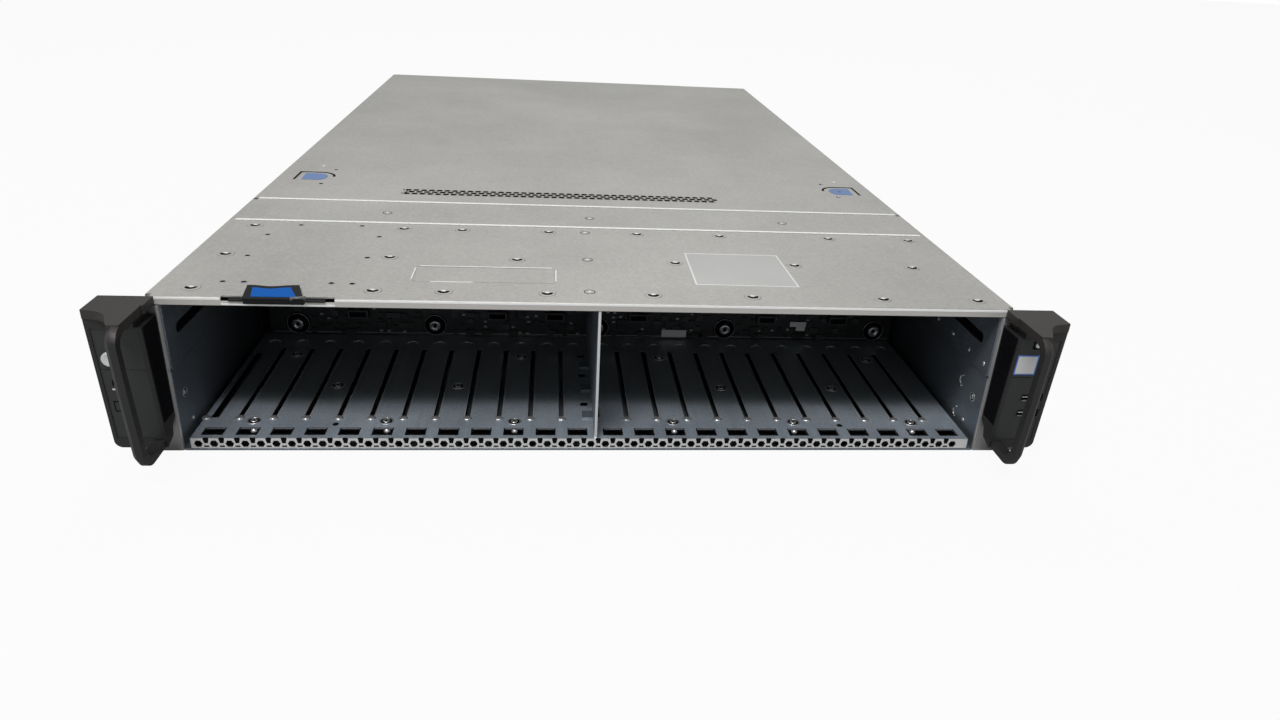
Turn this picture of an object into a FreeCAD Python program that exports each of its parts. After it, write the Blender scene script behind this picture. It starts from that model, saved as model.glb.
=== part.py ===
"""2U rack server, 24 small-form-factor drive bays, lids closed, bays empty.

Working frame: x across the rack, y rearwards from the front plane of the drive bay,
z up from the underside. Every solid is shifted along y at export so that the row's
origin is the bottom centre of the whole object's box.
"""
import FreeCAD
import Part
import math
import os

V = FreeCAD.Vector

# ---- driving dimensions, mm ----
RACK_WIDTH = 482.6            # over both ears, 19-inch rack
CHASSIS_WIDTH = 443.0         # over the covers
CHASSIS_HEIGHT = 86.3         # two rack units less working gap
CHASSIS_DEPTH = 760.0         # front plane to rear plane
SHEET = 1.2                   # chassis steel
COVER_SHEET = 1.0             # cover steel
SLIDE_GAP = 0.3               # each side, between a cover skirt and the tray wall

BAY_COUNT = 24
BAY_PITCH = 17.42
DIVIDER_GAP = 2.06            # extra pitch at the centre divider
BAY_DEPTH = 137.0             # front plane to backplane face
FLOOR_Z = 7.35                # top of the bay floor
CEILING_Z = 81.4              # underside of the bay ceiling
BAY_HALF_WIDTH = 211.0
WALL_X = 214.5                # inner plane of the bay side walls

FRONT_COVER_END = 132.6
MIDDLE_COVER_START = 133.2
MIDDLE_COVER_END = 180.0
REAR_COVER_START = 180.8

EAR_INNER_X = 216.0
EAR_OUTER_X = RACK_WIDTH / 2
EAR_TOP_Z = CHASSIS_HEIGHT
HANDLE_FRONT_Y = -42.8        # front of the finger loop
HANDLE_BOTTOM_Z = 10.0
HANDLE_WIDTH = 5.6            # loop section across the rack

FAN_COUNT = 4
FAN_SIZE = 80.0
FAN_DEPTH = 38.0
FAN_PITCH = 104.0
FAN_WALL_Y = 226.0
FAN_AXIS_Z = 43.0

PSU_WIDTH = 73.5
PSU_HEIGHT = 40.0
PSU_LENGTH = 185.0
PSU_CENTRE_X = 177.0
PSU_PITCH_Z = 41.2
PSU_HANDLE_REACH = 28.0

REAR_PANEL_Y = CHASSIS_DEPTH - 2.4


# ---- drawing helpers ----
PLANES = {
    "xy": (lambda a, b, c: V(a, b, c), V(0, 0, 1)),
    "yz": (lambda a, b, c: V(c, a, b), V(1, 0, 0)),
    "xz": (lambda a, b, c: V(a, c, b), V(0, 1, 0)),
}


def corner_points(before, here, after, radius):
    """Start, middle and end of the arc that rounds one corner, as flat vectors."""
    to_before = (before - here).normalize()
    to_after = (after - here).normalize()
    half_angle = to_before.getAngle(to_after) / 2
    reach = radius / math.tan(half_angle)
    bisector = (to_before + to_after).normalize()
    middle = here + bisector * (radius / math.sin(half_angle) - radius)
    return here + to_before * reach, middle, here + to_after * reach


def outline(corners, plane, level):
    """Closed wire through (a, b) or (a, b, radius) corners on one plane."""
    place = PLANES[plane][0]
    flat = [V(corner[0], corner[1], 0) for corner in corners]
    rounds = [corner[2] if len(corner) > 2 else 0 for corner in corners]
    count = len(flat)
    pieces = []
    for i in range(count):
        if rounds[i]:
            pieces.append(corner_points(flat[i - 1], flat[i], flat[(i + 1) % count], rounds[i]))
        else:
            pieces.append((flat[i], None, flat[i]))
    edges = []
    for i in range(count):
        start, middle, end = [p and place(p.x, p.y, level) for p in pieces[i]]
        following = place(pieces[(i + 1) % count][0].x, pieces[(i + 1) % count][0].y, level)
        if middle:
            edges.append(Part.Arc(start, middle, end).toShape())
        if end.distanceToPoint(following) > 1e-6:
            edges.append(Part.LineSegment(end, following).toShape())
    return Part.Wire(edges)


def prism(corners, plane, low, high, holes=()):
    """Solid between two levels of a plane, with straight-through holes."""
    wires = [outline(corners, plane, low)] + [outline(hole, plane, low) for hole in holes]
    face = Part.makeFace(wires, "Part::FaceMakerBullseye")
    return face.extrude(PLANES[plane][1] * (high - low))


def box(x0, x1, y0, y1, z0, z1):
    return Part.makeBox(x1 - x0, y1 - y0, z1 - z0, V(x0, y0, z0))


def rectangle(a0, a1, b0, b1, radius=0):
    return [(a0, b0, radius), (a1, b0, radius), (a1, b1, radius), (a0, b1, radius)]


def slot(a0, a1, b0, b1):
    """Rectangle whose narrow ends are full rounds."""
    return rectangle(a0, a1, b0, b1, min(a1 - a0, b1 - b0) / 2 - 0.01)


def polygon(a, b, radius, sides, turn=0.0):
    step = 2 * math.pi / sides
    return [(a + radius * math.cos(turn + i * step), b + radius * math.sin(turn + i * step))
            for i in range(sides)]


def cylinder_y(x, y0, y1, z, radius):
    return Part.makeCylinder(radius, y1 - y0, V(x, y0, z), V(0, 1, 0))


def fuse(shapes):
    return shapes[0].multiFuse(list(shapes[1:])).removeSplitter()


def mirrored(shape):
    return shape.mirror(V(0, 0, 0), V(1, 0, 0))


def group(shapes):
    return Part.makeCompound(list(shapes))


def bay_centre(index):
    side = -1 if index < BAY_COUNT // 2 else 1
    return (index - (BAY_COUNT - 1) / 2) * BAY_PITCH + side * DIVIDER_GAP / 2


BAY_CENTRES = [bay_centre(index) for index in range(BAY_COUNT)]


# ---- chassis sheet metal ----
TRAY_HALF = CHASSIS_WIDTH / 2 - COVER_SHEET - SLIDE_GAP
TRAY_TOP_Z = CHASSIS_HEIGHT - COVER_SHEET
TRAY_FRONT_Y = 1.6
RAIL_STUD_Y = (70.0, 390.0, 710.0)
RAIL_STUD_Z = 43.0
RAIL_SCREW_Y = (180.0, 620.0)
RAIL_SCREW_R = 2.0


def chassis_tray():
    """Folded bottom and outer side walls, with a front apron between the bay walls."""
    inside = TRAY_HALF - SHEET
    section = [(-TRAY_HALF, TRAY_TOP_Z), (-TRAY_HALF, 0, 2.0), (TRAY_HALF, 0, 2.0), (TRAY_HALF, TRAY_TOP_Z),
               (inside, TRAY_TOP_Z), (inside, SHEET, 0.8), (-inside, SHEET, 0.8), (-inside, TRAY_TOP_Z)]
    tray = prism(section, "xz", TRAY_FRONT_Y, REAR_PANEL_Y)
    apron = box(-WALL_X + 0.2, WALL_X - 0.2, 0, TRAY_FRONT_Y, 0, SHEET)
    tray = fuse([tray, apron])
    holes = [Part.makeCylinder(RAIL_SCREW_R, 2 * SHEET + 1, V(side * (TRAY_HALF + 0.5), y, RAIL_STUD_Z),
                               V(-side, 0, 0))
             for side in (-1, 1) for y in RAIL_SCREW_Y]
    return tray.cut(group(holes))


def rail_studs():
    """Headed shoulder studs that the rack rails' keyholes hook over."""
    studs = []
    for side in (-1, 1):
        for y in RAIL_STUD_Y:
            ends = sorted((side * TRAY_HALF, side * (TRAY_HALF + 2.4)))
            faces = sorted((side * (TRAY_HALF + 2.4), side * (TRAY_HALF + 3.4)))
            shank = prism(polygon(y, RAIL_STUD_Z, 2.6, 8), "yz", *ends)
            head = prism(polygon(y, RAIL_STUD_Z, 4.2, 8), "yz", *faces)
            studs.append(fuse([shank, head]))
    return group(studs)


FLANGE_OUTER_X = 238.8
FLANGE_RELIEF = 0.2           # the flange is thinner beside the tray, clear of the rack post
WALL_CREASE_Z = 45.4


def bay_wall():
    """Right bay side wall: two lapped planes, a long slot, and the bent rack flange."""
    step = 0.6
    outside = WALL_X + SHEET
    section = [(WALL_X, SHEET), (outside, SHEET), (outside, WALL_CREASE_Z),
               (outside - step, WALL_CREASE_Z + 1), (outside - step, CEILING_Z), (WALL_X - step, CEILING_Z),
               (WALL_X - step, WALL_CREASE_Z + 0.6), (WALL_X, WALL_CREASE_Z - 0.4)]
    wall = prism(section, "xz", TRAY_FRONT_Y, BAY_DEPTH + 3)
    post_side = TRAY_HALF + 2.0
    flange = prism([(WALL_X, TRAY_FRONT_Y), (WALL_X, 0, 1.5), (FLANGE_OUTER_X, 0), (FLANGE_OUTER_X, SHEET),
                    (post_side, SHEET), (post_side, SHEET - FLANGE_RELIEF),
                    (WALL_X + SHEET, SHEET - FLANGE_RELIEF), (WALL_X + SHEET, TRAY_FRONT_Y)],
                   "xy", 0, CEILING_Z)
    wall = fuse([wall, flange])
    wide = (WALL_X - 5, WALL_X + 5)
    air_slot = prism(slot(14, 130, 60, 66), "yz", *wide)
    lap_notch = box(WALL_X - 1, WALL_X + 0.9, -1, 3, WALL_CREASE_Z - 0.4, WALL_CREASE_Z + 1.2)
    return wall.cut(group([air_slot, lap_notch]))


HEX_COUNT = 53
HEX_PITCH = 7.875
HEX_MIDDLE_X = -2.5
HEX_MIDDLE_Z = 4.075
HEX_ACROSS = 4.4
HEX_STRIP_BOTTOM = 1.5


def hex_strip_holes():
    """Outlines of the row of air holes in the front leg of the bay floor."""
    first = HEX_MIDDLE_X - (HEX_COUNT - 1) / 2 * HEX_PITCH
    return [polygon(first + i * HEX_PITCH, HEX_MIDDLE_Z, HEX_ACROSS / 2, 6) for i in range(HEX_COUNT)]


CATCH_HALF = 4.85
CATCH_RANGE_Y = (4.9, 10.4)
GUIDE_HALF = 1.4
GUIDE_RANGE_Y = (24.5, 114.0)
WIDE_GUIDE_X = (2.2, 6.4)
WIDE_GUIDE_RANGE_Y = (22.5, 106.5)
SPLIT_GUIDE_X = (-0.1, 2.2)
FLOOR_TAB_Y = (39.9, 77.8, 106.0)
FLOOR_TAB_X = (-7.4, -3.2)
FLOOR_TAB_HALF = 2.2


def bay_floor():
    """Slotted floor plate on folded legs; its front leg is the hexagon air strip."""
    slots = []
    for index, x in enumerate(BAY_CENTRES):
        slots.append(rectangle(x - CATCH_HALF, x + CATCH_HALF, *CATCH_RANGE_Y))
        left = x - BAY_PITCH / 2
        if index == 0:
            slots.append(rectangle(left + WIDE_GUIDE_X[0], left + WIDE_GUIDE_X[1], *WIDE_GUIDE_RANGE_Y))
        elif index == BAY_COUNT // 2:
            slots.append(rectangle(left + SPLIT_GUIDE_X[0], left + SPLIT_GUIDE_X[1], *GUIDE_RANGE_Y))
        else:
            slots.append(rectangle(left - GUIDE_HALF, left + GUIDE_HALF, *GUIDE_RANGE_Y))
    for y in FLOOR_TAB_Y:
        slots.append(rectangle(*FLOOR_TAB_X, y - FLOOR_TAB_HALF, y + FLOOR_TAB_HALF))
    top = prism(rectangle(-BAY_HALF_WIDTH, BAY_HALF_WIDTH, 0, BAY_DEPTH), "xy",
                FLOOR_Z - SHEET, FLOOR_Z, slots)
    strip = prism(rectangle(-BAY_HALF_WIDTH, BAY_HALF_WIDTH, HEX_STRIP_BOTTOM, FLOOR_Z), "xz",
                  0, SHEET, hex_strip_holes())
    right_leg = box(BAY_HALF_WIDTH - SHEET, BAY_HALF_WIDTH, SHEET, BAY_DEPTH, SHEET, FLOOR_Z)
    return fuse([top, strip, right_leg, mirrored(right_leg)])


def bay_ceiling():
    """Upper plate of the bays, with one long air window over each cage."""
    windows = [rectangle(side * 107 - 60, side * 107 + 60, 60, 100) for side in (-1, 1)]
    return prism(rectangle(-WALL_X - 0.4, WALL_X + 0.4, 1.4, BAY_DEPTH + 3), "xy",
                 CEILING_Z, CEILING_Z + SHEET, windows)


def bay_divider():
    """Centre partition between the two cages, with a foot and a head flange."""
    half = 0.75
    web = box(-half, half, 1.0, BAY_DEPTH, FLOOR_Z, CEILING_Z)
    foot_tabs = [box(-half - 6, -half, y - 4, y + 4, FLOOR_Z, FLOOR_Z + 1.0) for y in (26.0, 60.0, 92.0)]
    return fuse([web] + foot_tabs)


def backplane_board():
    """Drive backplane with an air window between each pair of connectors."""
    bottom = FLOOR_Z + 0.4
    windows = []
    for first, second in zip(BAY_CENTRES[::2], BAY_CENTRES[1::2]):
        middle = (first + second) / 2
        windows.append(rectangle(middle - 5.0, middle + 5.0, 32, 74))
    return prism(rectangle(-207, 211.6, bottom, CEILING_Z - 0.6), "xz", BAY_DEPTH, BAY_DEPTH + 2.4, windows)


def drive_connectors():
    """One upright blind-mate receptacle per bay, tapered to lead the drive in."""
    blocks = []
    for x in BAY_CENTRES:
        front = BAY_DEPTH - 8.5
        plan = [(x - 2.4, BAY_DEPTH), (x - 1.8, front), (x + 1.8, front), (x + 2.4, BAY_DEPTH)]
        blocks.append(prism(plan, "xy", 28.5, 71.5))
    return group(blocks)


BACKPLANE_SCREW_X = (-189.2, -101.1, 7.0, 93.8, 198.9)
SCREW_Z = 15.0


def backplane_screws():
    """Captive backplane screws: a head on a broad washer land."""
    screws = []
    for x in BACKPLANE_SCREW_X:
        washer = prism(polygon(x, SCREW_Z, 5.4, 8), "xz", BAY_DEPTH - 1.0, BAY_DEPTH)
        head = prism(polygon(x, SCREW_Z, 3.1, 6), "xz", BAY_DEPTH - 3.2, BAY_DEPTH - 1.0)
        screws.append(fuse([washer, head]))
    return group(screws)


# ---- covers ----
LIP_HALF = 218.0
LIP_BOTTOM_Z = 81.95
TAG_CENTRE_X = -158.5
TAG_SLOT = (-185.0, -131.0)
SKIRT_BOTTOM_Z = 72.0
COVER_HALF = CHASSIS_WIDTH / 2
COVER_UNDER_Z = CHASSIS_HEIGHT - COVER_SHEET


def folded_cover(front, rear):
    """Flat top with a folded skirt down each side."""
    inside = COVER_HALF - COVER_SHEET
    section = [(-COVER_HALF, SKIRT_BOTTOM_Z), (-COVER_HALF, CHASSIS_HEIGHT, 1.4),
               (COVER_HALF, CHASSIS_HEIGHT, 1.4), (COVER_HALF, SKIRT_BOTTOM_Z), (inside, SKIRT_BOTTOM_Z),
               (inside, COVER_UNDER_Z, 0.2), (-inside, COVER_UNDER_Z, 0.2), (-inside, SKIRT_BOTTOM_Z)]
    return prism(section, "xz", front, rear)


def front_cover():
    """Fixed cover over the drive cage; its front lip is cut away above the service tag."""
    skirt_start = 4.0
    top = folded_cover(skirt_start, FRONT_COVER_END)
    lip = prism([(0, LIP_BOTTOM_Z), (0, CHASSIS_HEIGHT, 1.2), (skirt_start, CHASSIS_HEIGHT),
                 (skirt_start, COVER_UNDER_Z), (COVER_SHEET, COVER_UNDER_Z, 0.3),
                 (COVER_SHEET, LIP_BOTTOM_Z)], "yz", -LIP_HALF, LIP_HALF)
    cover = fuse([top, lip])
    tag_mouth = box(*TAG_SLOT, -1, 2.6, CHASSIS_HEIGHT - 2.1, CHASSIS_HEIGHT + 1)
    emboss = prism(rectangle(-98, -22.5, 27, 51), "xy", CHASSIS_HEIGHT - 0.25, CHASSIS_HEIGHT + 1,
                   [rectangle(-97.2, -23.3, 27.8, 50.2)])
    return cover.cut(group([tag_mouth, emboss]))


def middle_cover():
    """Fixed bridge between the drive cage and the rear cover."""
    return folded_cover(MIDDLE_COVER_START, MIDDLE_COVER_END)


VENT_PITCH = 5.6              # between air holes; one long slot spans a run of them
VENT_HOLE = 3.6
VENT_FIRST_X = -127.0
VENT_RUN = 13
VENT_RUNS = 3
VENT_Y = 206.5
VENT_ROW_STEP = 4.6
VENT_ROW_HALF = 1.7
LATCH_X = (-207.5, -183.5)
LATCH_Y = (231.0, 252.5)
LATCH_GAP = 0.8


def vent_slots():
    """Three staggered rows of long air slots in front of the fans."""
    slots = []
    for row in (-1, 0, 1):
        start = VENT_FIRST_X - VENT_HOLE / 2 + (0 if row else VENT_PITCH / 2)
        y = VENT_Y + row * VENT_ROW_STEP
        for i in range(VENT_RUNS):
            left = start + i * VENT_RUN * VENT_PITCH
            right = left + (VENT_RUN - 1) * VENT_PITCH + VENT_HOLE
            slots.append(rectangle(left, right, y - VENT_ROW_HALF, y + VENT_ROW_HALF))
    return slots


def latch_outline(side, grow):
    """D-shaped spring tab: square outboard, rounded inboard at the rear."""
    outer = abs(LATCH_X[0]) + grow
    inner = abs(LATCH_X[1]) - grow
    rear = LATCH_Y[1] + grow
    corners = [(outer, LATCH_Y[0]), (outer, rear), (inner, rear, 11), (inner, LATCH_Y[0])]
    return [(side * corner[0],) + corner[1:] for corner in corners]


REAR_COVER_END = REAR_PANEL_Y + SHEET + 0.4
COVER_EDGE_Z = COVER_UNDER_Z - 0.5


def rear_cover():
    """Sliding top plate: vent band, two spring-tab windows, turned edges and a shallow rear lip."""
    inside = COVER_HALF - COVER_SHEET
    section = [(-COVER_HALF, COVER_EDGE_Z), (-COVER_HALF, CHASSIS_HEIGHT, 1.4),
               (COVER_HALF, CHASSIS_HEIGHT, 1.4), (COVER_HALF, COVER_EDGE_Z), (inside, COVER_EDGE_Z),
               (inside, COVER_UNDER_Z), (-inside, COVER_UNDER_Z), (-inside, COVER_EDGE_Z)]
    plate = prism(section, "xz", REAR_COVER_START, REAR_COVER_END)
    windows = [latch_outline(side, LATCH_GAP) for side in (-1, 1)]
    cutters = [prism(hole, "xy", COVER_UNDER_Z - 1, CHASSIS_HEIGHT + 1) for hole in vent_slots() + windows]
    lip_end = PSU_CENTRE_X - PSU_WIDTH / 2 - 2.0
    lip = box(-COVER_HALF + 4, lip_end, REAR_COVER_END, REAR_COVER_END + COVER_SHEET, 83.0, CHASSIS_HEIGHT)
    return fuse([plate.cut(group(cutters)), lip])


def cover_skirt():
    """Right side rail of the rear cover, welded under its turned edge, over the tray wall."""
    return box(COVER_HALF - COVER_SHEET, COVER_HALF, REAR_COVER_START, REAR_COVER_END,
               SKIRT_BOTTOM_Z, COVER_EDGE_Z)


def cover_latch(side):
    """Spring tab pressed down to free the rear cover; it tips about its round front edge."""
    low = COVER_UNDER_Z - 0.1
    high = CHASSIS_HEIGHT - 0.1
    radius = (high - low) / 2
    hinge_y = LATCH_Y[0] + radius
    ends = sorted(side * abs(x) for x in LATCH_X)
    tab = prism(latch_outline(side, 0), "xy", low, high)
    square_edge = box(ends[0] - 1, ends[1] + 1, LATCH_Y[0] - 1, hinge_y, low - 1, high + 1)
    nose = Part.makeCylinder(radius, ends[1] - ends[0], V(ends[0], hinge_y, low + radius), V(1, 0, 0))
    return fuse([tab.cut(square_edge), nose])


TAG_BLADE_Z = (COVER_UNDER_Z - 0.7, COVER_UNDER_Z)
TAG_HEAD_X = (-178.0, -146.0)


def service_tag():
    """Pull-out tag: a blade under the cover folded back over the lip as a finger tab."""
    blade = box(TAG_CENTRE_X - 23, TAG_CENTRE_X + 23, -4.0, 92.0, *TAG_BLADE_Z)
    top_z = CHASSIS_HEIGHT + 1.6
    fold = prism([(-4.0, TAG_BLADE_Z[0]), (-6.6, TAG_BLADE_Z[0], 1.2), (-6.6, top_z, 1.6),
                  (14.0, top_z + 0.9), (14.0, top_z - 0.3), (-4.8, top_z - 1.1, 0.8),
                  (-4.8, TAG_BLADE_Z[1], 0.3), (-4.0, TAG_BLADE_Z[1])], "yz", *TAG_HEAD_X)
    return fuse([blade, fold])


# ---- front ears ----
PANEL_TOP_Z = 80.0
PANEL_BOTTOM_Z = 14.3
PANEL_TOP_Y = -18.0
PANEL_BOTTOM_Y = -14.0
BEZEL_WALL = 2.0
PANEL_DEPTH = 2.2
ROOF_UNDER_Z = 81.8           # underside of the ear roof and of the loop's upper bar
HANDLE_CHAMFER = 2.4          # along the outer front edge of the loop


def panel_face_y(z):
    """Front plane of the ear panel, which leans back towards the bottom."""
    share = (z - PANEL_BOTTOM_Z) / (PANEL_TOP_Z - PANEL_BOTTOM_Z)
    return PANEL_BOTTOM_Y + share * (PANEL_TOP_Y - PANEL_BOTTOM_Y)


def finger_loop():
    """Handle loop: one moulded bar that leaves the roof, drops and returns under the panel."""
    top = EAR_TOP_Z - 0.3
    under = HANDLE_BOTTOM_Z + 4.2
    side_view = [(-1, top), (HANDLE_FRONT_Y, top, 9), (HANDLE_FRONT_Y + 1.6, 54, 120),
                 (HANDLE_FRONT_Y + 5, HANDLE_BOTTOM_Z, 10), (-8, HANDLE_BOTTOM_Z + 0.6), (-8, under),
                 (-33.4, under, 8), (-36.6, 54, 120), (-38.4, ROOF_UNDER_Z, 6), (-1, ROOF_UNDER_Z)]
    inner = EAR_INNER_X + 1.0
    outer = inner + HANDLE_WIDTH
    loop = prism(side_view, "yz", inner, outer)
    front_edges = [edge for edge in loop.Edges
                   if min(v.X for v in edge.Vertexes) > outer - 0.01
                   and (edge.CenterOfMass.y < -39 or edge.CenterOfMass.z < HANDLE_BOTTOM_Z + 3)
                   and edge.CenterOfMass.y < -10]
    return loop.makeChamfer(HANDLE_CHAMFER, front_edges)


def ear_roof():
    """Roof plate whose front edge sweeps in from the outer corner to the loop."""
    loop_side = EAR_INNER_X + 1.0 + HANDLE_WIDTH
    plan = [(EAR_INNER_X, 0), (EAR_OUTER_X, 0), (EAR_OUTER_X, -18.4), (230.0, -20.4, 12),
            (loop_side, -36.0), (EAR_INNER_X + 1, -36.0), (EAR_INNER_X + 1, -12), (EAR_INNER_X, -12)]
    return prism(plan, "xy", ROOF_UNDER_Z, EAR_TOP_Z)


def ear_housing():
    """Right ear moulding: hollow box behind the panel, roof and finger loop in one piece."""
    side_view = [(0, ROOF_UNDER_Z), (panel_face_y(ROOF_UNDER_Z), ROOF_UNDER_Z),
                 (panel_face_y(HANDLE_BOTTOM_Z), HANDLE_BOTTOM_Z), (-12.6, HANDLE_BOTTOM_Z + 0.5),
                 (-6.0, 12.8), (-4.4, 18.0), (0, 21)]
    block = prism(side_view, "yz", EAR_INNER_X, EAR_OUTER_X)
    corner = prism([(EAR_OUTER_X - 4, 0), (EAR_OUTER_X + 1, 0), (EAR_OUTER_X + 1, HANDLE_BOTTOM_Z + 4),
                    (EAR_OUTER_X, HANDLE_BOTTOM_Z + 4), (EAR_OUTER_X, HANDLE_BOTTOM_Z, 3.9),
                    (EAR_OUTER_X - 4, HANDLE_BOTTOM_Z)], "xz", -30, 1)
    roof_recess = box(EAR_INNER_X - 1, EAR_INNER_X + 3.4, -30, 1, 77.4, ROOF_UNDER_Z)
    hollow = box(EAR_INNER_X + BEZEL_WALL, EAR_OUTER_X - BEZEL_WALL, -30, 1,
                 PANEL_BOTTOM_Z + 1.2, PANEL_TOP_Z - 3.6)
    shell = block.cut(group([corner, roof_recess, hollow]))
    return fuse([shell, ear_roof(), finger_loop()])


BUTTON_X = -233.5
BUTTON_Z = 60.5
BUTTON_R = 3.75
BUTTON_COLLAR = 4.4           # half side of the square collar behind the panel
USB_X = (226.4, 239.2)
USB_Z = (32.5, 42.1)
USB_HEIGHT = 5.4
LENS_X = 227.8
LENS_Z = 73.6
EAR_BOARD_Y = (-2.4, -0.8)


def ear_panel(side, openings):
    """Leaning front panel in its frame, with a seam groove and bosses for the board."""
    low = PANEL_BOTTOM_Z + 1.2
    high = PANEL_TOP_Z - 3.6
    plate = prism([(panel_face_y(low) + 0.4, low), (panel_face_y(low) + 0.4 + PANEL_DEPTH, low),
                   (panel_face_y(high) + 0.4 + PANEL_DEPTH, high), (panel_face_y(high) + 0.4, high)],
                  "yz", EAR_INNER_X + BEZEL_WALL, EAR_OUTER_X - BEZEL_WALL)
    seam = box(EAR_INNER_X, EAR_OUTER_X, -30, panel_face_y(54.3) + 0.8, 54.1, 54.5)
    bosses = [box(x - 1.4, x + 1.4, panel_face_y(z) + 1.5, EAR_BOARD_Y[0], z - 1.4, z + 1.4)
              for x in (220.4, 236.9) for z in (25.0, 68.0)]
    plate = fuse([plate] + bosses).cut(group([seam]))
    if side < 0:
        plate = mirrored(plate)
    return plate.cut(group(openings))


def left_panel_openings():
    return [cylinder_y(BUTTON_X, -30, -10, BUTTON_Z, BUTTON_R + 0.25)]


def right_panel_openings():
    sockets = [box(USB_X[0], USB_X[1], -30, -8, z - USB_HEIGHT / 2, z + USB_HEIGHT / 2) for z in USB_Z]
    return sockets + [prism(polygon(LENS_X, LENS_Z, 1.6, 12), "xz", -30, -10)]


def ear_board(side):
    """Small circuit board behind the ear panel."""
    board = box(218.6, 238.8, *EAR_BOARD_Y, 22.0, 76.0)
    return mirrored(board) if side < 0 else board


def usb_sockets():
    """Two USB shells: drawn steel sleeves, closed at the back by the board."""
    sleeves = []
    wall = 0.3
    for z in USB_Z:
        low = z - USB_HEIGHT / 2
        high = z + USB_HEIGHT / 2
        front = panel_face_y(z) + 0.2
        sleeve = box(USB_X[0], USB_X[1], front, EAR_BOARD_Y[0], low, high)
        mouth = box(USB_X[0] + wall, USB_X[1] - wall, front - 1, EAR_BOARD_Y[0] - wall,
                    low + wall, high - wall)
        sleeves.append(sleeve.cut(mouth))
    return group(sleeves)


def status_lens():
    """Clear light pipe in the right panel, standing on its board."""
    return prism(polygon(LENS_X, LENS_Z, 1.6, 12), "xz", panel_face_y(LENS_Z) + 0.2, EAR_BOARD_Y[0])


def power_button():
    """Round button cap, a collar that stops behind the panel, and a stem towards the switch."""
    face = panel_face_y(BUTTON_Z) - 0.9
    cap = prism(polygon(BUTTON_X, BUTTON_Z, BUTTON_R, 20), "xz", face, -13.6)
    stem = box(BUTTON_X - 1.2, BUTTON_X + 1.2, -13.7, EAR_BOARD_Y[0] - 1.1, BUTTON_Z - 1.2, BUTTON_Z + 1.2)
    collar_y = panel_face_y(BUTTON_Z - BUTTON_COLLAR) + 0.4 + PANEL_DEPTH
    collar = box(BUTTON_X - BUTTON_COLLAR, BUTTON_X + BUTTON_COLLAR, collar_y, collar_y + 1.0,
                 BUTTON_Z - BUTTON_COLLAR, BUTTON_Z + BUTTON_COLLAR)
    return fuse([cap, stem, collar])


# ---- fans ----
FAN_BORE_R = FAN_SIZE / 2 - 1.6
ROTOR_R = FAN_BORE_R - 2.6
HUB_R = 17.0
SHAFT_R = 2.0
SHAFT_BORE_R = 2.45           # corner radius of the six-sided journal bore
ROUND_SIDES = 16              # sides of the large fan circles, kept few for a light mesh
FAN_BLADES = 5
FAN_CENTRES = [(i - (FAN_COUNT - 1) / 2) * FAN_PITCH for i in range(FAN_COUNT)]


def fan_wall():
    """Cross member with a round window for each fan and folded feet."""
    windows = [polygon(x, FAN_AXIS_Z, FAN_BORE_R - 0.5, ROUND_SIDES) for x in FAN_CENTRES]
    web = prism(rectangle(-212, 212, SHEET, 84.0), "xz", FAN_WALL_Y - SHEET, FAN_WALL_Y, windows)
    foot = box(-212, 212, FAN_WALL_Y - 12, FAN_WALL_Y - SHEET, SHEET, 2 * SHEET)
    return fuse([web, foot])


def fan_frames():
    """Square fan frames: round bore, hub carrier on four struts, shaft bore in the hub."""
    frames = []
    for x in FAN_CENTRES:
        half = FAN_SIZE / 2
        frame = prism(rectangle(x - half, x + half, FAN_AXIS_Z - half, FAN_AXIS_Z + half), "xz",
                      FAN_WALL_Y, FAN_WALL_Y + FAN_DEPTH, [polygon(x, FAN_AXIS_Z, FAN_BORE_R, ROUND_SIDES)])
        rear = FAN_WALL_Y + FAN_DEPTH
        carrier = prism(polygon(x, FAN_AXIS_Z, HUB_R, 8), "xz", rear - 7, rear)
        reach = FAN_BORE_R + 0.5
        struts = [box(x - reach, x + reach, rear - 4, rear, FAN_AXIS_Z - 1.5, FAN_AXIS_Z + 1.5),
                  box(x - 1.5, x + 1.5, rear - 4, rear, FAN_AXIS_Z - reach, FAN_AXIS_Z + reach)]
        bore = prism(polygon(x, FAN_AXIS_Z, SHAFT_BORE_R, 6), "xz", rear - 8, rear - 1)
        frames.append(fuse([frame, carrier] + struts).cut(bore))
    return group(frames)


def blade(root_r, tip_r, chord, pitch, thickness):
    """One blade along +x about the y axis: a flat aerofoil plate set at its pitch."""
    half = chord / 2
    section = [(-half, -thickness / 2), (half, -thickness / 4), (half, thickness / 4), (-half, thickness / 2)]
    plate = prism(section, "yz", root_r, tip_r)
    plate.rotate(V(0, 0, 0), V(1, 0, 0), pitch)
    return plate


def rotor(x, y0, z, hub_r, tip_r, hub_depth, blades, shaft_reach):
    """Hub with two flats to each blade, pitched blades and a shaft towards the rear."""
    hub = prism(polygon(0, 0, hub_r, 2 * blades, math.pi / (2 * blades)), "xz", 0, hub_depth)
    single = blade(hub_r * 0.93, tip_r, hub_depth * 1.05, 38, tip_r * 0.045)
    single.translate(V(0, hub_depth / 2, 0))
    fins = []
    for i in range(blades):
        fin = single.copy()
        fin.rotate(V(0, 0, 0), V(0, 1, 0), 360.0 / blades * i)
        fins.append(fin)
    shaft = cylinder_y(0, hub_depth, hub_depth + shaft_reach, 0, SHAFT_R)
    whole = hub.multiFuse(fins + [shaft])
    whole.translate(V(x, y0, z))
    return whole


def fan_rotor(x):
    return rotor(x, FAN_WALL_Y + 3, FAN_AXIS_Z, HUB_R, ROTOR_R, 26.0, FAN_BLADES, 8.0)


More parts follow.
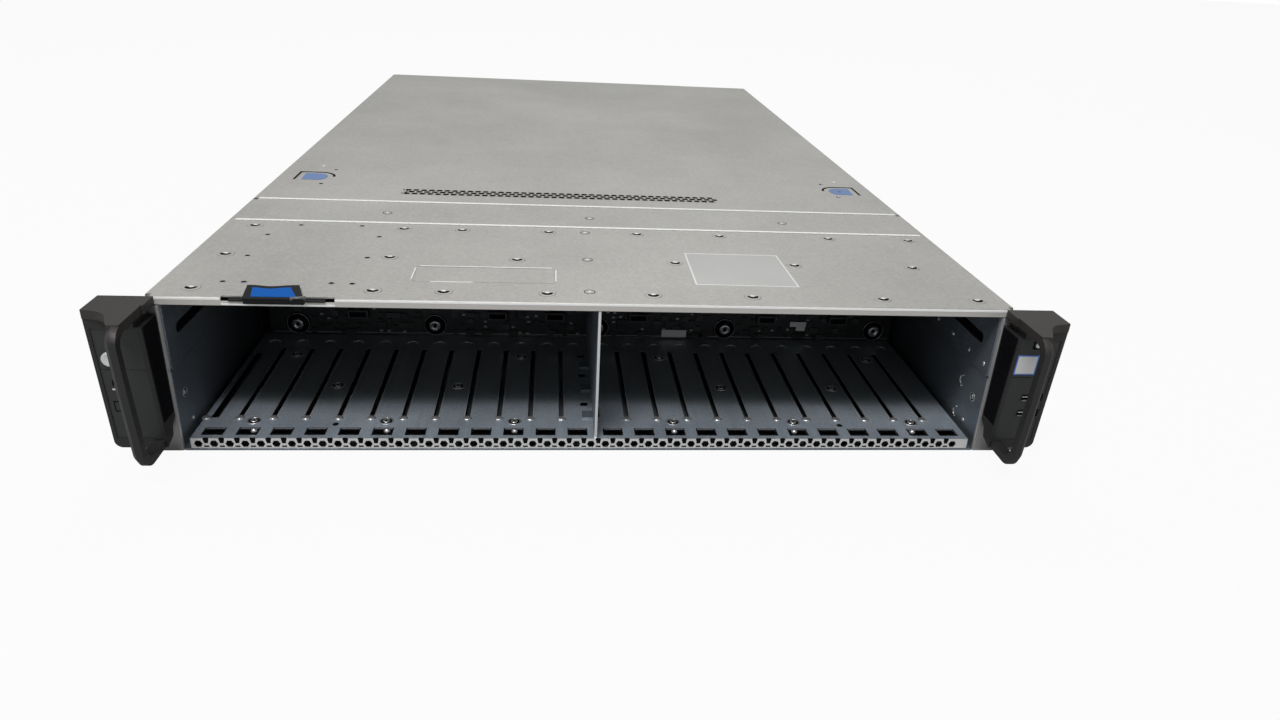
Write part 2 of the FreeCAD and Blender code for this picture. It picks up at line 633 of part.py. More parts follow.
# ---- main board and what stands on it ----
BOARD_Z = (8.0, 9.6)
BOARD_FRONT_Y = 290.0
BOARD_SHOULDER_Y = 548.0
BOARD_REAR_Y = 752.0
BOARD_HALF = 213.0
BOARD_NARROW_X = 134.0
CPU_X = (-105.0, 105.0)
CPU_Y = 400.0
MODULES_PER_SIDE = 3
MODULE_PITCH = 12.0
MODULE_FIRST = 50.0


def motherboard():
    plan = [(-BOARD_HALF, BOARD_FRONT_Y), (BOARD_HALF, BOARD_FRONT_Y), (BOARD_HALF, BOARD_SHOULDER_Y, 3),
            (BOARD_NARROW_X, BOARD_SHOULDER_Y, 3), (BOARD_NARROW_X, BOARD_REAR_Y),
            (-BOARD_HALF, BOARD_REAR_Y)]
    return prism(plan, "xy", *BOARD_Z)


def board_standoffs():
    places = [(x, y) for x in (-205, 0, 125) for y in (300, 520, 744)]
    return group(prism(polygon(x, y, 3.2, 6), "xy", SHEET, BOARD_Z[0]) for x, y in places)


def cpu_sockets():
    return group(box(x - 38, x + 38, CPU_Y - 30, CPU_Y + 30, BOARD_Z[1], BOARD_Z[1] + 4.4) for x in CPU_X)


def cpu_heatsinks():
    """Finned heatsinks: thick base and straight fins along the air path."""
    base_z = BOARD_Z[1] + 4.4
    half_x = 39.0
    half_y = 54.0
    fin_top = 64.0
    fin_pitch = 9.0
    sinks = []
    for x in CPU_X:
        base = box(x - half_x, x + half_x, CPU_Y - half_y, CPU_Y + half_y, base_z, base_z + 4.5)
        count = int(2 * half_x / fin_pitch)
        fins = [box(x - half_x + 0.4 + i * fin_pitch, x - half_x + 1.4 + i * fin_pitch,
                    CPU_Y - half_y, CPU_Y + half_y, base_z + 4.5, fin_top) for i in range(count + 1)]
        sinks.append(base.multiFuse(fins))
    return group(sinks)


def module_places():
    return [cpu + side * (MODULE_FIRST + i * MODULE_PITCH)
            for cpu in CPU_X for side in (-1, 1) for i in range(MODULES_PER_SIDE)]


def memory_slots():
    slots = []
    for x in module_places():
        section = [(x - 3.1, BOARD_Z[1]), (x + 3.1, BOARD_Z[1]), (x + 3.1, 19), (x + 0.75, 19),
                   (x + 0.75, 14), (x - 0.75, 14), (x - 0.75, 19), (x - 3.1, 19)]
        slots.append(prism(section, "xz", CPU_Y - 71, CPU_Y + 71))
    return group(slots)


def memory_modules():
    return group(box(x - 0.65, x + 0.65, CPU_Y - 66.6, CPU_Y + 66.6, 14.0, 45.0) for x in module_places())


def air_duct():
    """Shroud that carries the fan air over the processors: roof, outer walls and centre wall."""
    roof_z = (80.0, 81.5)
    half = 207.0
    wall = 1.5
    front = FAN_WALL_Y + FAN_DEPTH + 3
    section = [(-half, BOARD_Z[1]), (-half, roof_z[1], 3), (half, roof_z[1], 3), (half, BOARD_Z[1]),
               (half - wall, BOARD_Z[1]), (half - wall, roof_z[0], 1.5), (wall / 2, roof_z[0]),
               (wall / 2, BOARD_Z[1]), (-wall / 2, BOARD_Z[1]), (-wall / 2, roof_z[0]),
               (-half + wall, roof_z[0], 1.5), (-half + wall, BOARD_Z[1])]
    duct = prism(section, "xz", BOARD_FRONT_Y + 1, CPU_Y + 84)
    collar = prism(section[:4] + [(half - wall, BOARD_Z[1]), (half - wall, roof_z[0], 1.5),
                                  (-half + wall, roof_z[0], 1.5), (-half + wall, BOARD_Z[1])],
                   "xz", front, BOARD_FRONT_Y + 1.5)
    return fuse([duct, collar])


# ---- rear wall, slots and ports ----
SLOT_COUNT = 3
SLOT_PITCH = 20.32
SLOT_FIRST_Z = 34.2
RISER_X = (-152.0, 72.0)
SLOT_HALF = 56.0
REAR_PANEL_OUT_Y = REAR_PANEL_Y + SHEET
NETWORK_X = (-160.0, -104.0, -86.0)
USB_STACK_X = -132.0
VGA_X = -190.0
PORT_BASE_Z = BOARD_Z[1]


def slot_places():
    return [(x, SLOT_FIRST_Z + i * SLOT_PITCH) for x in RISER_X for i in range(SLOT_COUNT)]


def d_outline(x, z, half_width, height, slant):
    """D-shaped connector face: top wider than the bottom."""
    return [(x - half_width + slant, z - height / 2), (x + half_width - slant, z - height / 2),
            (x + half_width, z + height / 2), (x - half_width, z + height / 2)]


def rear_panel():
    """Rear wall with riser windows, port windows and a hexagon exhaust field."""
    holes = [rectangle(x - SLOT_HALF, x + SLOT_HALF, z - 6.5, z + 6.5) for x, z in slot_places()]
    holes += [rectangle(x - 8.1, x + 8.1, PORT_BASE_Z - 0.1, PORT_BASE_Z + 13.6) for x in NETWORK_X]
    holes.append(rectangle(USB_STACK_X - 7.4, USB_STACK_X + 7.4, PORT_BASE_Z - 0.1, PORT_BASE_Z + 15.8))
    holes.append(d_outline(VGA_X, PORT_BASE_Z + 6.2, 8.6, 8.6, 1.2))
    pitch = 13.0
    for row in range(3):
        for column in range(5 - row % 2):
            x = -66.0 + (column + row % 2 / 2) * pitch
            holes.append(polygon(x, 37.0 + row * pitch * 0.87, 6.4, 6))
    holes += [rectangle(-20 + i * 30, 4 + i * 30, 12.0, 19.0) for i in range(4)]
    left = -TRAY_HALF + SHEET + 0.1
    right = PSU_CENTRE_X - PSU_WIDTH / 2 - 1.6
    panel = prism(rectangle(left, right, SHEET, TRAY_TOP_Z), "xz", REAR_PANEL_Y, REAR_PANEL_OUT_Y, holes)
    hem = box(left, right, REAR_PANEL_Y - 10, REAR_PANEL_Y, TRAY_TOP_Z - SHEET, TRAY_TOP_Z)
    return fuse([panel, hem])


def slot_covers():
    """Blank slot brackets behind the rear wall, each with a long air slot."""
    covers = []
    for x, z in slot_places():
        slots = [rectangle(x - 46, x + 46, z - 2.4, z + 2.4)]
        covers.append(prism(rectangle(x - 59.5, x + 59.5, z - 8.9, z + 8.9), "xz",
                            REAR_PANEL_Y - 1, REAR_PANEL_Y, slots))
    return group(covers)


def riser_cards():
    """Upright riser boards with their card sockets, standing on the main board."""
    cards = []
    for x, side in zip(RISER_X, (1, -1)):
        edge = x + side * 55.0
        board = box(edge - 0.8, edge + 0.8, 590, 735, BOARD_Z[1], 82.0)
        sockets = [box(min(edge - side * 0.8, edge - side * 11.8), max(edge - side * 0.8, edge - side * 11.8),
                       630, 719, z - 3.8, z + 3.8) for x_slot, z in slot_places() if x_slot == x]
        cards.append(fuse([board] + sockets))
    return group(cards)


def rear_ports():
    """Network jacks, stacked USB sockets and the D-shell monitor port on the board edge."""
    rear = REAR_PANEL_OUT_Y + 0.6
    base = PORT_BASE_Z
    ports = []
    for x in NETWORK_X:
        jack = box(x - 8.0, x + 8.0, rear - 21, rear, base, base + 13.5)
        mouth = box(x - 5.9, x + 5.9, rear - 14, rear + 1, base + 2.6, base + 9.6)
        key = box(x - 3.1, x + 3.1, rear - 14, rear + 1, base + 9.5, base + 11.6)
        ports.append(jack.cut(group([mouth, key])))
    stack = box(USB_STACK_X - 7.2, USB_STACK_X + 7.2, rear - 17.5, rear, base, base + 15.6)
    mouths = [box(USB_STACK_X - 6.4, USB_STACK_X + 6.4, rear - 13, rear + 1, z, z + 5.4)
              for z in (base + 1.4, base + 8.8)]
    ports.append(stack.cut(group(mouths)))
    shell = prism(d_outline(VGA_X, base + 6.2, 8.3, 8.2, 1.2), "xz", rear - 14, rear + 4.4)
    hollow = prism(d_outline(VGA_X, base + 6.2, 7.6, 6.9, 1.1), "xz", rear - 2, rear + 5)
    foot = box(VGA_X - 15, VGA_X + 15, rear - 16, rear - 2.2, base, base + 12.4)
    ports.append(fuse([shell, foot]).cut(hollow))
    return group(ports)


# ---- power supplies ----
PSU_FACE_Y = REAR_PANEL_OUT_Y
PSU_FIRST_Z = SHEET + PSU_HEIGHT / 2
PSU_SHELF = 0.8
INLET_X = -22.0
PSU_FAN_X = 13.5
PSU_FAN_BORE_R = 15.0
PSU_HANDLE_X = (-7.2, -3.2)
LATCH_SLOT_X = 29.8
LATCH_PIVOT_X = 33.3
LATCH_PIVOT_Y = -10.0


def psu_centre_z(index):
    return PSU_FIRST_Z + index * PSU_PITCH_Z


def psu_bay():
    """Inner side wall of the power bay and the shelf between the two supplies."""
    left = PSU_CENTRE_X - PSU_WIDTH / 2 - 1.6
    front = PSU_FACE_Y - PSU_LENGTH - 8
    wall = box(left, left + SHEET, front, REAR_PANEL_Y + SHEET, SHEET, TRAY_TOP_Z)
    shelf_top = psu_centre_z(1) - PSU_HEIGHT / 2
    shelf = box(left, TRAY_HALF - SHEET, front, REAR_PANEL_Y + SHEET, shelf_top - PSU_SHELF, shelf_top)
    return fuse([wall, shelf])


def power_board():
    """Upright distribution board with a mating connector for each supply."""
    front = PSU_FACE_Y - PSU_LENGTH - 11
    left = PSU_CENTRE_X - PSU_WIDTH / 2 + 1
    board = box(left, left + PSU_WIDTH - 2, front, front + 2, SHEET, 83.0)
    sockets = [box(PSU_CENTRE_X - 26, PSU_CENTRE_X + 26, front + 2, front + 10,
                   psu_centre_z(i) - 5, psu_centre_z(i) + 5) for i in range(2)]
    return fuse([board] + sockets)


def placed(shape, index):
    """Moves a shape drawn about the supply's rear face centre to one of the two bays."""
    shape.translate(V(PSU_CENTRE_X, PSU_FACE_Y, psu_centre_z(index)))
    return shape


def psu_case():
    """Folded steel case with a fan bore, an inlet pocket and a latch slot in its rear face."""
    half_x = PSU_WIDTH / 2
    half_z = PSU_HEIGHT / 2
    case = prism(rectangle(-half_x, half_x, -half_z, half_z), "xz", -PSU_LENGTH, 0)
    fan_bore = prism(polygon(PSU_FAN_X, 0, PSU_FAN_BORE_R, 16), "xz", -22, 1)
    inlet_pocket = box(INLET_X - 13.6, INLET_X + 13.6, -22, 1, -10, 10)
    latch_slot = box(LATCH_SLOT_X, half_x + 1, -16, 1, -8.6, 8.6)
    shaft_bore = prism(polygon(PSU_FAN_X, 0, SHAFT_BORE_R, 6), "xz", -28, -21)
    return case.cut(group([fan_bore, inlet_pocket, latch_slot, shaft_bore]))


def psu_inlet():
    """Three-pin appliance inlet: chamfered socket with its blades."""
    body = box(INLET_X - 13.6, INLET_X + 13.6, -22, 0.8, -10, 10)
    socket = prism([(INLET_X - 12.1, -7.9), (INLET_X + 12.1, -7.9), (INLET_X + 12.1, 4.4),
                    (INLET_X + 8.4, 7.9), (INLET_X - 8.4, 7.9), (INLET_X - 12.1, 4.4)], "xz", -16.5, 1)
    pins = [box(x - 1.0, x + 1.0, -17, -1.5, z - 2.0, z + 2.0)
            for x, z in ((INLET_X - 7, -3.0), (INLET_X + 7, -3.0), (INLET_X, 1.0))]
    return body.cut(socket).multiFuse(pins)


def psu_handle():
    """Fixed upright grip loop on the rear face."""
    outer_y = PSU_HANDLE_REACH
    inner_y = PSU_HANDLE_REACH - 4.2
    loop = [(0, -16.5), (outer_y - 4, -15.5), (outer_y, -11), (outer_y, 11), (outer_y - 4, 15.5), (0, 16.5),
            (0, 12.3), (inner_y - 2, 11.3), (inner_y, 9.3), (inner_y, -9.3), (inner_y - 2, -11.3), (0, -12.3)]
    return prism(loop, "yz", *PSU_HANDLE_X)


def psu_guard():
    """Fan finger guard: an outer ring and four spokes over a centre disc."""
    ring = prism(polygon(PSU_FAN_X, 0, 15.9, 12), "xz", 0, 0.8, [polygon(PSU_FAN_X, 0, 14.4, 12)])
    disc = prism(polygon(PSU_FAN_X, 0, 6.2, 8), "xz", 0, 0.8)
    spokes = [box(PSU_FAN_X - 15.6, PSU_FAN_X + 15.6, 0, 0.8, -0.6, 0.6),
              box(PSU_FAN_X - 0.6, PSU_FAN_X + 0.6, 0, 0.8, -15.6, 15.6)]
    return fuse([ring, disc] + spokes)


def psu_latch():
    """Spring release lever: hooked blade on a pin inside the case, thumb pad outside."""
    plan = [(32.0, -13.5), (34.6, -13.5), (34.6, -6.5), (36.3, -4.4), (34.6, -4.0), (34.6, 2.0),
            (36.0, 3.4), (36.0, 14.0), (33.2, 14.0), (32.0, 2.0)]
    pin = prism(polygon(LATCH_PIVOT_X, LATCH_PIVOT_Y, 1.2, 8), "xy", -8.5, 8.5)
    return fuse([prism(plan, "xy", -7.0, 7.0), pin])


def psu_rotor():
    """Small exhaust rotor whose shaft runs forwards into the case."""
    spinner = rotor(0, 0, 0, 6.5, PSU_FAN_BORE_R - 2.4, 12.0, FAN_BLADES, 8.0)
    spinner.rotate(V(0, 0, 0), V(0, 0, 1), 180)
    spinner.translate(V(PSU_FAN_X, -6.0, 0))
    return spinner


# ---- write one file per piece ----
def pieces():
    """Every named piece in the working frame."""
    named = {
        "chassis_tray": chassis_tray(), "rail_studs": rail_studs(),
        "bay_wall_left": mirrored(bay_wall()), "bay_wall_right": bay_wall(),
        "bay_floor": bay_floor(), "bay_ceiling": bay_ceiling(), "bay_divider": bay_divider(),
        "backplane_board": backplane_board(), "drive_connectors": drive_connectors(),
        "backplane_screws": backplane_screws(),
        "front_cover": front_cover(), "middle_cover": middle_cover(), "rear_cover": rear_cover(),
        "cover_skirt_left": mirrored(cover_skirt()), "cover_skirt_right": cover_skirt(),
        "cover_latch_left": cover_latch(-1), "cover_latch_right": cover_latch(1),
        "service_tag": service_tag(),
        "ear_housing_left": mirrored(ear_housing()), "ear_housing_right": ear_housing(),
        "ear_panel_left": ear_panel(-1, left_panel_openings()),
        "ear_panel_right": ear_panel(1, right_panel_openings()),
        "ear_board_left": ear_board(-1), "ear_board_right": ear_board(1),
        "usb_sockets": usb_sockets(), "status_lens": status_lens(), "power_button": power_button(),
        "fan_wall": fan_wall(), "fan_frames": fan_frames(),
        "motherboard": motherboard(), "board_standoffs": board_standoffs(), "cpu_sockets": cpu_sockets(),
        "cpu_heatsinks": cpu_heatsinks(), "memory_slots": memory_slots(), "memory_modules": memory_modules(),
        "air_duct": air_duct(), "riser_cards": riser_cards(),
        "rear_panel": rear_panel(), "slot_covers": slot_covers(), "rear_ports": rear_ports(),
        "psu_bay": psu_bay(), "power_board": power_board(),
    }
    for number, x in enumerate(FAN_CENTRES, 1):
        named[f"fan_rotor_{number}"] = fan_rotor(x)
    for index in range(2):
        prefix = f"psu_{index + 1}_"
        named[prefix + "case"] = placed(psu_case(), index)
        named[prefix + "inlet"] = placed(psu_inlet(), index)
        named[prefix + "handle"] = placed(psu_handle(), index)
        named[prefix + "guard"] = placed(psu_guard(), index)
        named[prefix + "latch"] = placed(psu_latch(), index)
        named[prefix + "rotor"] = placed(psu_rotor(), index)
    return named


named_pieces = pieces()
whole_box = Part.makeCompound(list(named_pieces.values())).optimalBoundingBox()
os.makedirs("parts", exist_ok=True)
for name, shape in named_pieces.items():
    shape.translate(V(0, -whole_box.Center.y, 0))
    if not shape.isValid():
        print("not valid:", name)
    shape.exportStep(f"parts/{name}.step")
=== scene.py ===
"""Two-unit rack server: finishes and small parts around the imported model, in assembly order."""

import math
import random

import bmesh
import bpy
from mathutils import Matrix, Vector


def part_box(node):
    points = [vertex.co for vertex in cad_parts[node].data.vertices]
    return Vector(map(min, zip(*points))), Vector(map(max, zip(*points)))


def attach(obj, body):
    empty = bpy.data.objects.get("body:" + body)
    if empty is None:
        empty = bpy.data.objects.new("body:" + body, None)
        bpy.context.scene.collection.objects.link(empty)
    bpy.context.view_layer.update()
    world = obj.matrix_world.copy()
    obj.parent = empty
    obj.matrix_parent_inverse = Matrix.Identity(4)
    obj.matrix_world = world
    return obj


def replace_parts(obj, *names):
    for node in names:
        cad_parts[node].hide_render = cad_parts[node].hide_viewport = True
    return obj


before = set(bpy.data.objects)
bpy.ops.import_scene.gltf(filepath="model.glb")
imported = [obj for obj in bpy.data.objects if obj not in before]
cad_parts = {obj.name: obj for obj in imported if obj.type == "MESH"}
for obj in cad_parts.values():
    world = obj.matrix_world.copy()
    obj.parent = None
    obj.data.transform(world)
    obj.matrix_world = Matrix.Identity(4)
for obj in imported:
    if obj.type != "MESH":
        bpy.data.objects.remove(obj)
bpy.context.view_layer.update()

# ---- Studio ----
# The server lies on a pale table under one broad lamp above its front, with a weaker lamp
# at the back and an even white room. The camera stands in front and looks down on the lid.
studio = bpy.data.collections.new("studio")
bpy.context.scene.collection.children.link(studio)
bpy.context.scene.view_settings.view_transform = "Standard"

camera_data = bpy.data.cameras.new("camera")
camera_data.sensor_width = 36
camera_data.lens = 25.315
camera_data.clip_start = 0.01
camera = bpy.data.objects.new("camera", camera_data)
studio.objects.link(camera)
bpy.context.scene.camera = camera


def turn(degrees, axis):
    """Rotation about one axis."""
    return Matrix.Rotation(math.radians(degrees), 4, axis)


heading, dip, roll = -6.363, 25.037, 3.267
camera.matrix_world = (Matrix.Translation((-0.0256, -0.7964, 0.2542))
                       @ turn(heading, "Z") @ turn(90 - dip, "X") @ turn(roll, "Z"))


def add_lamp(name, target, azimuth, elevation, distance, size, watts):
    """Soft rectangular lamp that looks at a point from a heading and height, in degrees."""
    lamp = bpy.data.lights.new(name, "AREA")
    lamp.shape = "RECTANGLE"
    lamp.size, lamp.size_y = size
    lamp.energy = watts
    holder = bpy.data.objects.new(name, lamp)
    studio.objects.link(holder)
    a = math.radians(azimuth)
    e = math.radians(elevation)
    back = Vector((math.sin(a) * math.cos(e), -math.cos(a) * math.cos(e), math.sin(e)))
    holder.location = Vector(target) + back * distance
    holder.rotation_euler = back.to_track_quat("Z", "Y").to_euler()


add_lamp("front_lamp", (-0.03, -0.37, 0.04), -25, 61, 2.1, (1.3, 0.36), 33.5)
add_lamp("rear_lamp", (0, 0.2, 0.04), 170, 55, 2.6, (2, 1.2), 21)


def empty_tree(owner):
    """Shader tree of a world or a material, cleared."""
    owner.use_nodes = True
    owner.node_tree.nodes.clear()
    return owner.node_tree


def add_node(tree, kind, operation=None, **values):
    """Adds a shader node with the given values on its named inputs."""
    made = tree.nodes.new("ShaderNode" + kind)
    if operation:
        made.operation = operation
    for name, value in values.items():
        made.inputs[name.replace("_", " ")].default_value = value
    return made


def wire(tree, *joins):
    """Links nodes; each join is a node and its output, then a node and its input."""
    for source, output, target, entry in joins:
        tree.links.new(source.outputs[output], target.inputs[entry])


world = bpy.data.worlds.new("room")
bpy.context.scene.world = world
room = empty_tree(world)
room_light = add_node(room, "Background", Color=(0.93, 0.96, 1, 1), Strength=0.36)
room_white = add_node(room, "Background", Color=(1, 1, 1, 1), Strength=1)
room_ray = add_node(room, "LightPath")
room_mix = add_node(room, "MixShader")
room_out = add_node(room, "OutputWorld")
wire(room, (room_ray, "Is Camera Ray", room_mix, "Fac"), (room_light, 0, room_mix, 1),
     (room_white, 0, room_mix, 2), (room_mix, 0, room_out, "Surface"))

table_mesh = bmesh.new()
bmesh.ops.create_grid(table_mesh, x_segments=1, y_segments=1, size=8)
table_data = bpy.data.meshes.new("table")
table_mesh.to_mesh(table_data)
table_mesh.free()
table = bpy.data.objects.new("table", table_data)
studio.objects.link(table)
table_white = bpy.data.materials.new("table_white")
table_data.materials.append(table_white)
paint = empty_tree(table_white)
matt = add_node(paint, "BsdfDiffuse", Color=(0.45, 0.45, 0.45, 1))
glow = add_node(paint, "Emission")
table_ray = add_node(paint, "LightPath")
part_white = add_node(paint, "Math", "MULTIPLY")
part_white.inputs[1].default_value = 0.94
table_mix = add_node(paint, "MixShader")
table_out = add_node(paint, "OutputMaterial")
wire(paint, (table_ray, "Is Camera Ray", part_white, 0), (part_white, 0, table_mix, "Fac"),
     (matt, 0, table_mix, 1), (glow, 0, table_mix, 2), (table_mix, 0, table_out, "Surface"))

# ---- Chassis tray ----
# Bottom and side walls folded from one zinc-coated steel sheet. Headed studs are riveted
# in the sides for the rack rails, and pan-head screws hold the inner frames to it.
MM = 0.001
bay_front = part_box("bay_floor")[0].y


def make_grain(name, scales):
    """Starts a texture group that turns a place and scales into tone, polish and height."""
    group = bpy.data.node_groups.new(name, "ShaderNodeTree")
    socket = group.interface.new_socket
    socket(name="Vector", in_out="INPUT", socket_type="NodeSocketVector")
    for label, scale in scales.items():
        made = socket(name=label, in_out="INPUT", socket_type="NodeSocketFloat")
        made.default_value = scale
    for label in ("Tone", "Polish", "Height"):
        socket(name=label, in_out="OUTPUT", socket_type="NodeSocketFloat")
    return group, group.nodes.new("NodeGroupInput"), group.nodes.new("NodeGroupOutput")


def make_sheet_grain():
    """Rolled sheet: fine speckle, cloudy patches and long faint streaks front to back."""
    group, given, result = make_grain("rolled_sheet", {"Speckle Scale": 1400, "Cloud Scale": 14})
    speckle = add_node(group, "TexNoise", Detail=1)
    cloud = add_node(group, "TexNoise", Detail=5, Roughness=0.62)
    stretch = add_node(group, "VectorMath", "MULTIPLY")
    stretch.inputs[1].default_value = (1, 0.015, 1)
    streak = add_node(group, "TexNoise", Scale=420, Detail=2)
    both = add_node(group, "Mix", Factor=0.55)
    tone = add_node(group, "Mix", Factor=0.08)
    polish = add_node(group, "Mix", Factor=0.4)
    wire(group, (given, "Vector", speckle, "Vector"), (given, "Speckle Scale", speckle, "Scale"),
         (given, "Vector", cloud, "Vector"), (given, "Cloud Scale", cloud, "Scale"),
         (given, "Vector", stretch, 0), (stretch, 0, streak, "Vector"),
         (speckle, "Fac", both, "A"), (cloud, "Fac", both, "B"),
         (both, 0, tone, "A"), (streak, "Fac", tone, "B"),
         (cloud, "Fac", polish, "A"), (streak, "Fac", polish, "B"),
         (tone, 0, result, "Tone"), (polish, 0, result, "Polish"), (both, 0, result, "Height"))
    return group


def make_finish(name, group, scales, shades, gloss, relief, metallic, specular):
    """Material whose colour, gloss and fine relief all come from one texture group."""
    finish = bpy.data.materials.new(name)
    tree = empty_tree(finish)
    place = add_node(tree, "TexCoord")
    texture = add_node(tree, "Group")
    texture.node_tree = group
    for label, scale in scales.items():
        texture.inputs[label].default_value = scale
    colour = add_node(tree, "ValToRGB")
    for stop, position, shade in zip(colour.color_ramp.elements, (0.3, 0.7), shades):
        stop.position = position
        stop.color = (*shade, 1)
    polish = add_node(tree, "MapRange", From_Min=0.3, From_Max=0.7, To_Min=gloss[0],
                      To_Max=gloss[1])
    bump = add_node(tree, "Bump", Strength=relief[0], Distance=relief[1])
    shader = add_node(tree, "BsdfPrincipled", Metallic=metallic, Specular_IOR_Level=specular)
    out = add_node(tree, "OutputMaterial")
    wire(tree, (place, "Object", texture, "Vector"), (texture, "Tone", colour, "Fac"),
         (colour, "Color", shader, "Base Color"), (texture, "Polish", polish, "Value"),
         (polish, "Result", shader, "Roughness"), (texture, "Height", bump, "Height"),
         (bump, "Normal", shader, "Normal"), (shader, 0, out, "Surface"))
    return finish


SHEET_GRAIN = make_sheet_grain()


def steel(name, speckle, shades, gloss, metallic, relief=(0.05, 0.0001), cloud=14, specular=0.5):
    """Bare, coated or painted sheet metal."""
    return make_finish(name, SHEET_GRAIN, {"Speckle Scale": speckle, "Cloud Scale": cloud}, shades,
                       gloss, relief, metallic, specular)


def zinc_steel(name, lightness=1):
    """Blue-grey zinc-coated steel."""
    shades = [tuple(lightness * value for value in shade)
              for shade in ((0.19, 0.22, 0.255), (0.31, 0.34, 0.375))]
    return steel(name, 700, shades, (0.34, 0.52), 0.75, (0.1, 0.0003), 18)


def shade_zone(finish, axis, start, end, shade, roughness=None):
    """Blends a finish towards another shade between two planes across one axis (metres); used to
    paint light and shade onto surfaces.
    """
    tree = finish.node_tree
    place, shader = (next(node for node in tree.nodes if node.bl_idname == "ShaderNode" + kind)
                     for kind in ("TexCoord", "BsdfPrincipled"))
    split = add_node(tree, "SeparateXYZ")
    share = add_node(tree, "MapRange", From_Min=start, From_Max=end)
    wire(tree, (place, "Object", split, 0), (split, axis, share, "Value"))
    for entry, kind, value in (("Base Color", "RGBA", (*shade, 1)),
                               ("Roughness", "FLOAT", roughness)):
        if value is None:
            continue
        mixed = add_node(tree, "Mix")
        mixed.data_type = kind
        mixed.inputs["B"].default_value = value
        tree.links.new(shader.inputs[entry].links[0].from_socket, mixed.inputs["A"])
        wire(tree, (share, "Result", mixed, "Factor"), (mixed, "Result", shader, entry))


def dress(finish, edge, *names):
    """Gives carried-over parts their finish and, where edge isn't 0, eased edges (metres)."""
    for name in names:
        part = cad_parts[name]
        part.data.materials.clear()
        part.data.materials.append(finish)
        if edge:
            weld = part.modifiers.new("weld", "WELD")
            weld.merge_threshold = 0.00001
            bevel = part.modifiers.new("edges", "BEVEL")
            bevel.width = edge
            bevel.segments = 2
            bevel.limit_method = "ANGLE"
            bevel.angle_limit = math.radians(40)
            bevel.harden_normals = True


# A part on an outer face points to its own side, and one on an inner face to the other side.
SIDES = {-1: "left", 1: "right"}
FACING = {"up": Matrix.Identity(4), "front": turn(90, "X"), "back": turn(-90, "X"),
          "right": turn(90, "Y"), "left": turn(-90, "Y")}


def at(x, y, z, facing="up"):
    """Place in mm from the bay front for a small part drawn at zero and pointing up."""
    return Matrix.Translation((x, y, z)) @ FACING[facing]


def close_new(mesh, known, material, smooth):
    """Closes seams of the faces that a step added, turns them outwards and colours them."""
    fresh = [face for face in mesh.faces if face not in known]
    corners = list({vert for face in fresh for vert in face.verts})
    bmesh.ops.remove_doubles(mesh, verts=corners, dist=0.0005)
    fresh = [face for face in mesh.faces if face not in known]
    bmesh.ops.recalc_face_normals(mesh, faces=fresh)
    for face in fresh:
        face.material_index = material
        face.smooth = smooth


def turned(mesh, profile, sides, material=0, angle=math.tau):
    """Adds a shape turned about z from (radius, height) points that form a closed line."""
    known = set(mesh.faces)
    rim = [mesh.verts.new((radius, 0, height)) for radius, height in profile]
    if angle < math.tau:
        geometry = rim + [mesh.faces.new(rim)]
    else:
        geometry = rim + [mesh.edges.new((rim[i - 1], rim[i])) for i in range(len(rim))
                          if rim[i - 1].co.x + rim[i].co.x > 0.0001]
    bmesh.ops.spin(mesh, geom=geometry, cent=(0, 0, 0), axis=(0, 0, 1), dvec=(0, 0, 0),
                   angle=angle, steps=sides, use_merge=angle == math.tau, use_duplicate=False)
    close_new(mesh, known, material, True)


def block(mesh, low, high, bevel=0, material=0):
    """Adds a rectangular body between two corners, with its edges eased."""
    known = set(mesh.faces)
    low = Vector(low)
    high = Vector(high)
    place = Matrix.Translation((low + high) / 2) @ Matrix.Diagonal((*(high - low), 1))
    made = bmesh.ops.create_cube(mesh, size=1, matrix=place)["verts"]
    if bevel:
        edges = list({edge for vert in made for edge in vert.link_edges})
        bmesh.ops.bevel(mesh, geom=edges, offset=bevel, segments=2, profile=0.5,
                        affect="EDGES", material=-1)
    close_new(mesh, known, material, False)


def only_corners(geometry):
    """The corners among what an operator returned."""
    return [part for part in geometry if isinstance(part, bmesh.types.BMVert)]


def sheet(mesh, outline, low, high, material=0, plane="xy"):
    """Adds a flat piece: an outline in one plane, raised from one level to another."""
    known = set(mesh.faces)
    if plane == "yz":
        corners, rise = [(low, a, b) for a, b in outline], (high - low, 0, 0)
    elif plane == "xz":
        corners, rise = [(a, low, b) for a, b in outline], (0, high - low, 0)
    else:
        corners, rise = [(a, b, low) for a, b in outline], (0, 0, high - low)
    face = mesh.faces.new([mesh.verts.new(corner) for corner in corners])
    raised = bmesh.ops.extrude_face_region(mesh, geom=[face], use_keep_orig=True)["geom"]
    bmesh.ops.translate(mesh, verts=only_corners(raised), vec=rise)
    close_new(mesh, known, material, False)


def move_new(mesh, known, place):
    """Moves the corners that were added since known was noted."""
    bmesh.ops.transform(mesh, matrix=place, verts=[v for v in mesh.verts if v not in known])


def repeat(mesh, places):
    """Copies everything drawn so far to each place and drops the original."""
    original = mesh.verts[:] + mesh.edges[:] + mesh.faces[:]
    corners = mesh.verts[:]
    for place in places:
        copy = bmesh.ops.duplicate(mesh, geom=original)["geom"]
        bmesh.ops.transform(mesh, matrix=place, verts=only_corners(copy))
    bmesh.ops.delete(mesh, geom=corners, context="VERTS")


def add_piece(name, mesh, finishes, body="chassis"):
    """Turns a mesh drawn in mm from the bay front into a piece that rides on a body."""
    bmesh.ops.transform(mesh, verts=mesh.verts,
                        matrix=Matrix.Translation((0, bay_front, 0)) @ Matrix.Scale(MM, 4))
    data = bpy.data.meshes.new(name)
    mesh.to_mesh(data)
    mesh.free()
    for finish in finishes:
        data.materials.append(finish)
    piece = bpy.data.objects.new(name, data)
    bpy.context.scene.collection.objects.link(piece)
    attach(piece, body)
    return piece


